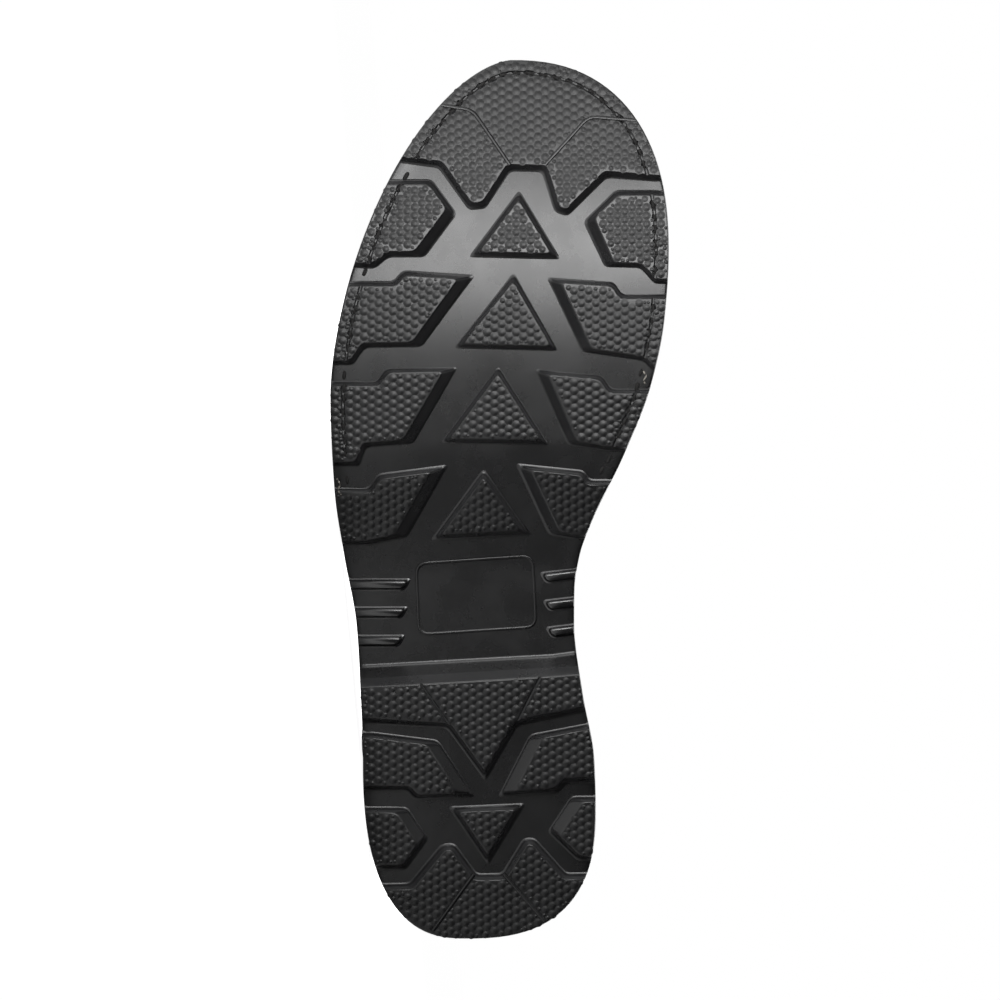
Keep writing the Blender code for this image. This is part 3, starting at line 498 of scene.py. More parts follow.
@dataclass(frozen=True)
class SmoothLeather(Finish):
    """Black drum-dyed leather with a waxed face: fine pebbled grain, uneven low shine, paler rubbed spots."""

    rubbed: str = "#2b2825"
    grain_size: float = 1.1
    grain_depth: float = 0.16
    pore_size: float = 0.5
    mottle_size: float = 22.0

    def dress(self, tree: NodeTree, shader: Node, place: NodeSocket) -> None:
        """Adds grain, pores, mottling and a thin wax coat."""
        shader.inputs["Coat Weight"].default_value = 0.18
        shader.inputs["Coat Roughness"].default_value = 0.32
        warp = add_node(tree, "ShaderNodeTexNoise", {
            "Vector": place, "Scale": per_metre(self.grain_size * 3.0), "Detail": 2.0})
        bent = add_node(tree, "ShaderNodeVectorMath", {
            0: warp.outputs["Color"], 1: (self.grain_size * MM,) * 3}, operation="MULTIPLY")
        moved = add_node(tree, "ShaderNodeVectorMath", {0: place, 1: bent.outputs[0]}, operation="ADD")
        pebble = add_node(tree, "ShaderNodeTexVoronoi", {
            "Vector": moved.outputs[0], "Scale": per_metre(self.grain_size)}, feature="DISTANCE_TO_EDGE")
        lifted = add_node(tree, "ShaderNodeMapRange", {
            "Value": pebble.outputs["Distance"], "From Max": 0.28}, interpolation_type="SMOOTHSTEP")
        pores = add_node(tree, "ShaderNodeTexNoise", {
            "Vector": place, "Scale": per_metre(self.pore_size), "Detail": 4.0})
        face = add_node(tree, "ShaderNodeMath", {
            0: pores.outputs["Fac"], 1: 0.45, 2: lifted.outputs[0]}, operation="MULTIPLY_ADD")
        add_node(tree, "ShaderNodeBump", {
            "Height": face.outputs[0], "Strength": 0.5, "Distance": self.grain_depth * MM},
            feeds=shader.inputs["Normal"])
        mottle = add_node(tree, "ShaderNodeTexNoise", {
            "Vector": place, "Scale": per_metre(self.mottle_size), "Detail": 6.0, "Roughness": 0.65})
        wear = add_node(tree, "ShaderNodeMapRange", {
            "Value": mottle.outputs["Fac"], "From Min": 0.55, "From Max": 0.8, "To Max": 0.35})
        add_node(tree, "ShaderNodeMix", {0: wear.outputs[0], 6: self.colour, 7: self.rubbed},
                 feeds=shader.inputs["Base Color"], data_type="RGBA")
        add_node(tree, "ShaderNodeMapRange", {
            "Value": mottle.outputs["Fac"], "From Min": 0.3, "From Max": 0.7,
            "To Min": self.roughness - 0.07, "To Max": self.roughness + 0.09},
            feeds=shader.inputs["Roughness"])


@dataclass(frozen=True)
class NappedCloth(Finish):
    """Felted or brushed cloth: short fibres that scatter light softly over a mottled ground."""

    # Real fibres are finer: these are as coarse as they need to be to show.
    fleck: str = "#4a4744"
    fibre_size: float = 0.8
    fibre_depth: float = 0.25

    def dress(self, tree: NodeTree, shader: Node, place: NodeSocket) -> None:
        """Adds fibres, flecks and a soft sheen."""
        shader.inputs["Sheen Weight"].default_value = 0.35
        shader.inputs["Sheen Roughness"].default_value = 0.5
        fibre = add_node(tree, "ShaderNodeTexNoise", {
            "Vector": place, "Scale": per_metre(self.fibre_size), "Detail": 5.0, "Distortion": 1.6})
        amount = add_node(tree, "ShaderNodeMapRange", {
            "Value": fibre.outputs["Fac"], "From Min": 0.4, "From Max": 0.75})
        add_node(tree, "ShaderNodeMix", {0: amount.outputs[0], 6: self.colour, 7: self.fleck},
                 feeds=shader.inputs["Base Color"], data_type="RGBA")
        add_node(tree, "ShaderNodeBump", {
            "Height": fibre.outputs["Fac"], "Strength": 0.6, "Distance": self.fibre_depth * MM},
            feeds=shader.inputs["Normal"])


@dataclass(frozen=True)
class BraidedCord(Finish):
    """Braided polyester lace: slanted strands round the cord, read from its own UV map, with a painted
    highlight on their crests.
    """

    # The paler colour on the strands' crests is a painted highlight; the hollows keep the cord's darker
    # colour.
    # Strands round the cord, and per millimetre along it, fewer than in a real braid so that they show.
    strand: str = "#242426"
    strands_round: float = 6.0
    strands_along: float = 0.5
    strand_depth: float = 0.35

    def dress(self, tree: NodeTree, shader: Node, place: NodeSocket) -> None:
        """Adds two crossing sets of strands, with their crests painted paler than the hollows between them: a
        painted highlight.
        """
        shader.inputs["Sheen Weight"].default_value = 0.25
        shader.inputs["Sheen Roughness"].default_value = 0.4
        turns = add_node(tree, "ShaderNodeUVMap", uv_map="UVMap").outputs[0]
        split = add_node(tree, "ShaderNodeSeparateXYZ", {0: turns})
        waves = []
        for hand in (1.0, -1.0):
            slant = add_node(tree, "ShaderNodeMath", {
                0: split.outputs["Y"], 1: hand * self.strands_along * math.tau}, operation="MULTIPLY")
            phase = add_node(tree, "ShaderNodeMath", {
                0: split.outputs["X"], 1: self.strands_round * math.tau, 2: slant.outputs[0]},
                operation="MULTIPLY_ADD")
            waves.append(add_node(tree, "ShaderNodeMath", {0: phase.outputs[0]}, operation="SINE").outputs[0])
        braid = add_node(tree, "ShaderNodeMath", {0: waves[0], 1: waves[1]}, operation="MAXIMUM")
        amount = add_node(tree, "ShaderNodeMapRange", {
            "Value": braid.outputs[0], "From Min": -0.2, "From Max": 1.0})
        # Painted highlight: crests take the paler colour, hollows the cord's own.
        add_node(tree, "ShaderNodeMix", {0: amount.outputs[0], 6: self.colour, 7: self.strand},
                 feeds=shader.inputs["Base Color"], data_type="RGBA")
        add_node(tree, "ShaderNodeBump", {
            "Height": braid.outputs[0], "Strength": 0.8, "Distance": self.strand_depth * MM},
            feeds=shader.inputs["Normal"])


@dataclass(frozen=True)
class SewingThread(Finish):
    """Waxed sewing thread: a plied twist with a dull gloss."""

    # Colour painted into the grooves between the plies: painted shade.
    ply: str = "#151515"
    ply_size: float = 0.5
    ply_depth: float = 0.1

    def dress(self, tree: NodeTree, shader: Node, place: NodeSocket) -> None:
        """Adds the twist, with the lines between the plies painted in the groove colour: painted shade where
        that colour is darker than the thread.
        """
        twist = add_node(tree, "ShaderNodeTexWave", {
            "Vector": place, "Scale": per_metre(self.ply_size) / math.tau, "Distortion": 3.0},
            bands_direction="DIAGONAL")
        add_node(tree, "ShaderNodeMix", {0: twist.outputs["Fac"], 6: self.ply, 7: self.colour},
                 feeds=shader.inputs["Base Color"], data_type="RGBA")
        add_node(tree, "ShaderNodeBump", {
            "Height": twist.outputs["Fac"], "Strength": 0.5, "Distance": self.ply_depth * MM},
            feeds=shader.inputs["Normal"])


@dataclass(frozen=True)
class BlackenedSteel(Finish):
    """Pressed steel with a black oxide: dark, half bright, worn paler in fine scratches."""

    worn: str = "#6e6c69"
    scratch_size: float = 1.4

    def dress(self, tree: NodeTree, shader: Node, place: NodeSocket) -> None:
        """Adds worn spots."""
        shader.inputs["Metallic"].default_value = 1.0
        rub = add_node(tree, "ShaderNodeTexNoise", {
            "Vector": place, "Scale": per_metre(self.scratch_size), "Detail": 6.0, "Roughness": 0.7})
        amount = add_node(tree, "ShaderNodeMapRange", {
            "Value": rub.outputs["Fac"], "From Min": 0.55, "From Max": 0.75, "To Max": 0.6})
        add_node(tree, "ShaderNodeMix", {0: amount.outputs[0], 6: self.colour, 7: self.worn},
                 feeds=shader.inputs["Base Color"], data_type="RGBA")
        add_node(tree, "ShaderNodeMapRange", {
            "Value": rub.outputs["Fac"], "From Min": 0.3, "From Max": 0.7,
            "To Min": self.roughness - 0.08, "To Max": self.roughness + 0.12},
            feeds=shader.inputs["Roughness"])


OUTSOLE_RUBBER = MouldedRubber("moulded_rubber", "#0a0a0b", 0.275)
WALL_RUBBER = SheenPaintedRubber("dusty_wall_rubber", "#0b0b0c", 0.29)
SHANK_RUBBER = MouldedRubber("smooth_rubber", "#0b0b0c", 0.22, mirror_level=0.9)
TREAD_RUBBER = MouldedRubber("scuffed_tread_rubber", "#0a0a0b", 0.38, mirror_level=0.4)
# The sole's thread is near black so that its stitches read as dark pits in the sewn channel: partly the
# thread's colour, partly painted shade.
SOLE_THREAD_AND_PIT_SHADE = SewingThread("waxed_sole_thread", "#0e0b0a", 0.85)
TAIL_THREAD = SewingThread("raw_thread_end", "#8f8a82", 0.85)
UPPER_LEATHER = SmoothLeather("waxed_leather", "#151413", 0.42)
WELT_LEATHER = SmoothLeather("edge_dressed_leather", "#1d1a18", 0.5, grain_size=0.7, grain_depth=0.06)
LINING_CLOTH = NappedCloth("brushed_lining", "#2c2a28", 0.95)
FOOTBED_FELT = NappedCloth("footbed_felt", "#3b3835", 0.95, fleck="#5a5652", fibre_size=1.2)
LACE_CORD = BraidedCord("braided_polyester", "#0f0f10", 0.7)
UPPER_THREAD = SewingThread("bonded_upper_thread", "#454240", 0.6)
EYELET_STEEL = BlackenedSteel("blackened_steel", "#2c2b2b", 0.36)


# The boot's frame and the workshop that places what is made in it


@dataclass(frozen=True)
class TreadMount:
    """A mount on the tread, by its place in the boot's frame."""

    name: str
    along: float
    across: float


HEEL_MOUNT = TreadMount("heel_tread", 84.0, 0.0)
FOREFOOT_MOUNT = TreadMount("forefoot_tread", 186.0, 5.2)


class Workshop:
    """Turns meshes in the boot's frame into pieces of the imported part."""

    def __init__(self, record: dict) -> None:
        """Finds how the boot lies from its two tread mounts.

        Args:
            record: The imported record.
        """
        mounts = {mount["name"]: mount for mount in record["mounts"]}
        heel, front = (Vector(mounts[mount.name]["pos_m"]) for mount in (HEEL_MOUNT, FOREFOOT_MOUNT))
        up = -Vector(mounts[HEEL_MOUNT.name]["axis"]).normalized()
        run = front - heel
        run = (run - up * run.dot(up)).normalized()
        aside = up.cross(run)
        lean = math.atan2(FOREFOOT_MOUNT.across - HEEL_MOUNT.across, FOREFOOT_MOUNT.along - HEEL_MOUNT.along)
        toe = run * math.cos(lean) - aside * math.sin(lean)
        turn = Matrix((toe, up.cross(toe), up)).transposed()
        shift = heel - turn @ Vector((HEEL_MOUNT.along, HEEL_MOUNT.across, 0.0)) * MM
        self.matrix = Matrix.Translation(shift) @ turn.to_4x4() @ Matrix.Scale(MM, 4)

    def place(self, along: float, across: float, height: float) -> Vector:
        """World place of a place on the boot."""
        return self.matrix @ Vector((along, across, height))

    def direction(self, along: float, across: float, height: float) -> Vector:
        """World direction of a direction on the boot."""
        return (self.matrix.to_3x3() @ Vector((along, across, height))).normalized()

    def finish(self, name: str, bm: BMesh, look: Finish, replaces: Sequence[str] = (),
               sharp: float = 40.0, in_place: bool = False) -> Object:
        """Makes a piece of a mesh, dresses it and puts it on the part.

        Args:
            name: The piece's name.
            bm: Its mesh in the boot's frame, which is freed.
            look: Its finish.
            replaces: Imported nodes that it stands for.
            sharp: Angle in degrees past which an edge is shaded sharp.
            in_place: Whether the mesh is already where the boot lies.

        Returns:
            The piece.
        """
        if not in_place:
            bmesh.ops.transform(bm, matrix=self.matrix, verts=bm.verts)
        for vertex in bm.verts:
            vertex.co.z = max(vertex.co.z, 0.0)
        mesh = bpy.data.meshes.new(name)
        bm.to_mesh(mesh)
        bm.free()
        mesh.shade_smooth()
        mesh.set_sharp_from_angle(angle=math.radians(sharp))
        mesh.materials.append(look.material())
        piece = bpy.data.objects.new(name, mesh)
        bpy.context.scene.collection.objects.link(piece)
        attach(piece, "root")
        if replaces:
            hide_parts(*replaces)
        LOG.info("%s: %d faces", name, len(mesh.polygons))
        return piece

    @staticmethod
    def cut(parts: Sequence[BMesh], cutters: Sequence[BMesh]) -> BMesh:
        """Takes closed meshes out of other closed meshes, one at a time.

        Args:
            parts: The meshes that are cut, which are freed.
            cutters: The meshes that are taken out, which are freed.

        Returns:
            What is left of all the parts, as one mesh.
        """
        holders = []
        for part in (*cutters, *parts):
            mesh = bpy.data.meshes.new("cutting")
            part.to_mesh(mesh)
            part.free()
            holder = bpy.data.objects.new("cutting", mesh)
            bpy.context.scene.collection.objects.link(holder)
            holders.append(holder)
        tools = holders[:len(cutters)]
        for holder in holders[len(cutters):]:
            for tool in tools:
                modifier = holder.modifiers.new("cut", "BOOLEAN")
                modifier.operation = "DIFFERENCE"
                modifier.object = tool
        made = fresh()
        seen = bpy.context.evaluated_depsgraph_get()
        for holder in holders[len(cutters):]:
            left = bpy.data.meshes.new_from_object(holder.evaluated_get(seen))
            made.from_mesh(left)
            bpy.data.meshes.remove(left)
        for holder in holders:
            bpy.data.meshes.remove(holder.data)
        return made

    @staticmethod
    def copied(node: Object) -> BMesh:
        """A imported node's mesh, merged and with its triangles joined to quads, where the boot lies."""
        bm = fresh()
        bm.from_mesh(node.data)
        bmesh.ops.remove_doubles(bm, verts=bm.verts, dist=1e-6)
        bmesh.ops.join_triangles(bm, faces=bm.faces, angle_face_threshold=0.6, angle_shape_threshold=2.0)
        return bm


# Outsole


@dataclass(frozen=True)
class RoundEnd:
    """One side of the rounded toe or heel."""

    start: float
    edge: float
    power: float


@dataclass(frozen=True)
class EdgePoint:
    """A point on the sole's edge, its cross line's station and its outward normal in plan."""

    along: float
    across: float
    station: float
    out: complex

    def inset(self, distance: float) -> complex:
        """Plan place at a distance inside the edge."""
        return complex(self.along, self.across) - self.out * distance


@dataclass
class SolePlan:
    """Outline and heights of the outsole."""

    length: float = 310.5
    toe_tip: float = 11.4
    heel_tip: float = -5.5
    toe_ends: dict[Side, RoundEnd] = field(default_factory=lambda: {
        Side.OUTER: RoundEnd(191.6, -52.8, 1.67), Side.INNER: RoundEnd(242.5, 66.7, 2.35)})
    heel_ends: dict[Side, RoundEnd] = field(default_factory=lambda: {
        Side.OUTER: RoundEnd(63.2, -41.3, 2.49), Side.INNER: RoundEnd(45.7, 40.9, 2.61)})
    waist: dict[Side, Rows] = field(default_factory=lambda: {
        Side.OUTER: [(63.2, -41.3), (91.0, -42.3), (111.0, -43.6), (135.0, -47.9), (159.0, -51.4),
                     (191.6, -52.8)],
        Side.INNER: [(45.7, 40.9), (63.0, 40.4), (87.0, 36.2), (111.0, 33.3), (123.0, 33.4), (135.0, 35.2),
                     (147.0, 39.5), (171.0, 51.0), (195.0, 60.3), (219.0, 65.2), (242.5, 66.7)]})
    lug_depth: float = 4.5
    toe_spring: float = 14.0
    spring_start: float = 195.0
    arch_rise: float = 5.0
    arch: tuple[float, float] = (126.0, 174.0)
    breast: tuple[float, float] = (94.2, 98.4)
    breast_hollow: float = 0.8
    heel_end: float = 104.0
    skew_reach: float = 2.4
    skew_window: tuple[float, float, float, float] = (40.0, 85.0, 112.0, 150.0)
    skew_half_width: float = 38.0
    top_rows: Rows = ((0.0, 30.0), (55.0, 29.4), (100.0, 25.4), (150.0, 17.2), (195.0, 12.6))
    round_steps: int = 26
    heel_round: float = 46.0
    toe_round: float = 62.0
    step: float = 2.5

    def edge(self, side: Side, along: float) -> float:
        """Across place of the sole's edge.

        Args:
            side: The side of the foot.
            along: The place along the foot.

        Returns:
            The across place.
        """
        toe, heel = self.toe_ends[side], self.heel_ends[side]
        if along >= toe.start:
            share, tip, end = (along - toe.start) / (self.length - toe.start), self.toe_tip, toe
        elif along <= heel.start:
            share, tip, end = (heel.start - along) / heel.start, self.heel_tip, heel
        else:
            return through(self.waist[side], along)
        share = min(max(share, 0.0), 1.0)
        return tip + (end.edge - tip) * (1.0 - share ** end.power) ** (1.0 / end.power)

    def spring(self, along: float) -> float:
        """How far the toe turns up."""
        share = max(along - self.spring_start, 0.0) / (self.length - self.spring_start)
        return self.toe_spring * share * share

    def top(self, along: float) -> float:
        """Height of the face that the upper and welt sit on."""
        return through(self.top_rows, along) + self.spring(along)

    def tread_line(self, station: float) -> float:
        """Height of the tread blocks' faces: on the ground, but for the arch and the toe."""
        if station < self.heel_end:
            return 0.0
        return self.arch_rise * (1.0 - ease(*self.arch, station)) + self.spring(station)

    def floor(self, station: float) -> float:
        """Height of the smooth floor between the tread blocks."""
        if station < self.heel_end:
            start, end = self.breast
            slope, hollow = self.arch_rise / (end - start), self.breast_hollow
            if abs(station - end) < hollow:
                left = end + hollow - station
                return self.lug_depth + self.arch_rise - slope * left ** 2 / (4.0 * hollow)
            return self.lug_depth + slope * min(max(station - start, 0.0), end - start)
        return self.lug_depth + self.tread_line(station)

    def skew(self, along: float) -> float:
        """How far the heel's cross lines lean, forward on the inner side."""
        start, full, fade, end = self.skew_window
        return self.skew_reach * (ease(start, full, along) - ease(fade, end, along))

    def station_of(self, along: float, across: float) -> float:
        """Station whose leaning cross line passes through a place."""
        return along - self.skew(along) * across / self.skew_half_width

    def stations(self) -> list[float]:
        """Stations along the sole, closest together round the toe, the heel and the breast."""
        last = self.round_steps - 1
        turns = [math.radians(2.0 + 86.0 * index / last) for index in range(self.round_steps)]
        heel = [self.heel_round * (1.0 - math.cos(turn)) for turn in turns]
        toe = [self.length - self.toe_round * (1.0 - math.cos(turn)) for turn in reversed(turns)]
        middle = list(np.arange(heel[-1] + self.step, toe[0] - self.step / 2, self.step))
        start, end = self.breast
        hollow = [end + self.breast_hollow * share for share in (-1, -0.5, 0, 0.5, 1)]
        breast = [start, start + 1.2, start + 2.4, *hollow]
        return heel + sorted(middle + [float(station) for station in breast]) + toe

    def edge_loop(self) -> list[EdgePoint]:
        """The sole's edge from the toe down its inner side, round the heel and back up its outer side.

        Returns:
            Its points.
        """
        stations = self.stations()
        plan = []
        for side, ordered in ((Side.INNER, stations[::-1]), (Side.OUTER, stations)):
            for station in ordered:
                along = station + self.skew(station) * side.value
                plan.append((complex(along, self.edge(side, along)), station))
        points = []
        for index, (place, station) in enumerate(plan):
            run = plan[(index + 1) % len(plan)][0] - plan[index - 1][0]
            points.append(EdgePoint(place.real, place.imag, station, run / abs(run) * -1j))
        return points


@dataclass(frozen=True)
class Block:
    """A tread block: the edge that it runs off and its corners as (along, across)."""

    reach: Reach
    corners: tuple[tuple[float, float], ...]
    front_draft: float | None = None


@dataclass(frozen=True)
class BlockCorner:
    """A corner of a trimmed block, with the lean of the wall that leaves it."""

    place: complex
    is_turn: bool
    draft: float
    flares: bool


FAR_OUT = 95.0
BLOCKS = (
    Block(Reach.TOE, ((276.0, -40.0), (273.0, -14.2), (258.0, -3.6), (258.4, 1.6), (271.8, 10.3),
                      (271.5, 22.5), (257.0, 27.0), (255.8, 30.8), (269.4, 44.5), (266.9, 75.0))),
    Block(Reach.OUTER, ((267.4, -17.4), (255.9, -9.0), (241.2, -19.9), (241.2, -32.6), (237.2, -37.2))),
    Block(Reach.OUTER, ((231.4, -30.2), (235.2, -27.0), (233.6, -3.0), (209.2, -20.7), (208.9, -40.8),
                         (202.7, -45.0))),
    Block(Reach.OUTER, ((196.2, -36.2), (200.9, -32.9), (201.3, -8.4), (175.0, -23.7), (173.7, -40.4),
                         (167.0, -42.9))),
    Block(Reach.OUTER, ((158.6, -38.8), (163.4, -35.7), (166.4, -12.4), (142.2, -26.2), (139.2, -40.0))),
    Block(Reach.INNER, ((263.6, 48.2), (253.0, 37.4), (237.4, 44.3), (237.0, 56.7), (231.4, 61.7))),
    Block(Reach.INNER, ((227.0, 50.0), (231.4, 47.2), (232.8, 24.4), (207.3, 36.2), (204.1, 57.8),
                         (196.5, 64.8))),
    Block(Reach.INNER, ((193.6, 46.1), (198.4, 42.9), (200.6, 19.8), (174.7, 31.2), (172.4, 46.0))),
    Block(Reach.INNER, ((161.4, 38.4), (164.6, 36.4), (166.9, 13.7), (143.1, 24.8), (141.4, 34.0))),
    Block(Reach.FREE, ((263.0, 13.8), (241.2, -2.6), (240.4, 27.4))),
    Block(Reach.FREE, ((234.0, 11.9), (208.7, -8.4), (207.7, 27.2))),
    Block(Reach.FREE, ((201.4, 6.4), (175.2, -13.1), (174.6, 23.6))),
    Block(Reach.FREE, ((164.8, 1.3), (141.2, -16.1), (142.9, 16.9))),
    Block(Reach.FREE, ((79.9, -FAR_OUT), (75.0, -11.2), (57.0, 1.9), (75.8, 12.8), (92.5, FAR_OUT),
                       (99.8, FAR_OUT), (88.6, -FAR_OUT)), front_draft=3.55),
    Block(Reach.OUTER, ((72.2, -38.0), (69.4, -15.2), (50.6, -3.0), (49.6, -22.6), (52.8, -25.2))),
    Block(Reach.INNER, ((76.7, 46.0), (71.4, 18.2), (50.9, 7.7), (52.0, 27.3), (55.6, 30.1))),
    Block(Reach.OUTER, ((45.8, -26.2), (35.4, -19.0), (25.0, -26.6))),
    Block(Reach.INNER, ((49.6, 32.7), (37.9, 24.8), (28.2, 34.9))),
    Block(Reach.FREE, ((45.9, -9.8), (47.0, 14.9), (27.4, 2.9))),
    Block(Reach.HEEL, ((18.6, -44.0), (19.0, -24.5), (32.7, -13.2), (33.0, -9.3), (22.2, -1.3), (22.4, 8.2),
                       (34.8, 15.8), (34.8, 19.1), (22.5, 30.2), (22.8, 48.0))),
)


@dataclass(frozen=True)
class ShankRib:
    """A low bar across one side of the shank."""

    side: Side
    front: float
    width: float
    inner: float
    slant: float


SHANK_RIBS = tuple(ShankRib(Side.OUTER, front, 2.8, -25.4 - step, 0.0)
                   for step, front in enumerate((126.3, 116.4, 106.4)))
SHANK_RIBS += tuple(ShankRib(Side.INNER, front, 2.6, 22.2 + step, 0.12)
                    for step, front in enumerate((128.6, 118.8, 109.3)))

CROWN_RIDGES = (
    ((294.3, -13.6), (292.6, -2.7), (273.2, 10.5)),
    ((273.2, 23.1), (290.2, 38.4), (288.9, 55.0)),
    ((22.8, -2.1), (2.9, -16.6)),
    ((22.9, 8.5), (6.3, 22.9)),
)
BAR_GROOVES = (((92.0, -22.2), (74.0, -9.6)), ((95.5, 22.8), (74.0, 11.8)))
THREAD_TAILS = (
    ((162.4, -50.4, 0.1), (160.4, -49.4, 0.5), (158.2, -49.9, 0.3), (156.6, -49.0, 0.1)),
    ((200.2, 57.6, 0.1), (198.6, 58.5, 0.6), (196.8, 57.8, 0.5), (195.6, 58.4, 0.1)),
)
PANEL_CORNERS = ((132.3, -22.5), (135.1, 18.6), (110.0, 19.9), (107.3, -21.5))


def cross(a: complex, b: complex) -> float:
    """Plan cross product."""
    return (a.conjugate() * b).imag


def unit(run: complex) -> complex:
    """A plan direction of length 1."""
    return run / abs(run)


def within(places: complex | np.ndarray, outline: Sequence[complex]) -> np.ndarray:
    """Whether plan places lie inside a closed outline."""
    inside = np.zeros(np.shape(places), dtype=bool)
    for start, end in zip(outline, [*outline[1:], outline[0]]):
        if start.imag != end.imag:
            between = (start.imag > np.imag(places)) != (end.imag > np.imag(places))
            slope = (end - start).real / (end - start).imag
            inside ^= between & (np.real(places) < start.real + (np.imag(places) - start.imag) * slope)
    return inside


def off_path(places: np.ndarray, path: Sequence[complex]) -> np.ndarray:
    """Distances of plan places from an open path."""
    nearest = np.full(np.shape(places), math.inf)
    for start, end in zip(path, path[1:]):
        run = end - start
        share = np.clip(((places - start) * run.conjugate()).real / max(abs(run) ** 2, 1e-12), 0.0, 1.0)
        nearest = np.minimum(nearest, np.abs(places - start - run * share))
    return nearest


def rounded(places: Sequence[complex], turns: Sequence[bool], radius: float, steps: int = 4) -> list[complex]:
    """An outline with its turns drawn as short arcs.

    Args:
        places: The outline's corners.
        turns: Which of them are turns.
        radius: How far each arc starts from its turn, at most.
        steps: Straight pieces in each arc.

    Returns:
        The outline's places.
    """
    made = []
    count = len(places)
    for index, place in enumerate(places):
        if not turns[index]:
            made.append(place)
            continue
        before, after = places[index - 1], places[(index + 1) % count]
        cut = min(radius, abs(before - place) * 0.45, abs(after - place) * 0.45)
        start, end = place + unit(before - place) * cut, place + unit(after - place) * cut
        for step in range(steps + 1):
            t = step / steps
            made.append(start * (1 - t) ** 2 + place * 2 * t * (1 - t) + end * t * t)
    return made


@dataclass(frozen=True)
class BlockLevel:
    """One ring round a tread block: how deep it lies, and how far it flares, and draws in, there."""

    depth: float
    flare: float
    draw: float


# The slab's lower edge: how far in and how far up.
FOOT_EDGE = ((8.5, 0.0), (2.8, 0.0), (1.0, 0.0), (0.4, 0.08), (0.1, 0.32), (0.0, 0.75))
# Grooves round the slab: a share of its height, or how far under its top, and a share of their depth.
SIDE_GROOVE = ((0.2, 0.0), (0.225, 0.6), (0.25, 0.93), (0.29, 1.0), (0.33, 0.93), (0.355, 0.6), (0.38, 0.0))
TOP_GROOVE = ((4.6, 0.0), (4.3, 0.6), (3.95, 0.93), (3.5, 1.0), (3.05, 0.93), (2.7, 0.6), (2.4, 0.0))
# The slab's upper edge: how far in and how far under the top.
TOP_EDGE = ((0.0, 0.7), (0.2, 0.2), (0.7, 0.0), (1.6, 0.0))
# A dome and a ridge of unit size: how far out and how high.
DOME_RINGS = ((1.0, 0.0), (0.82, 0.14), (0.64, 0.4), (0.45, 0.68), (0.25, 0.9))
RIDGE_ROWS = ((-0.6, -0.3), (-0.35, 0.8), (-0.26, 0.97), (0.0, 1.0), (0.26, 0.97), (0.35, 0.8), (0.6, -0.3))


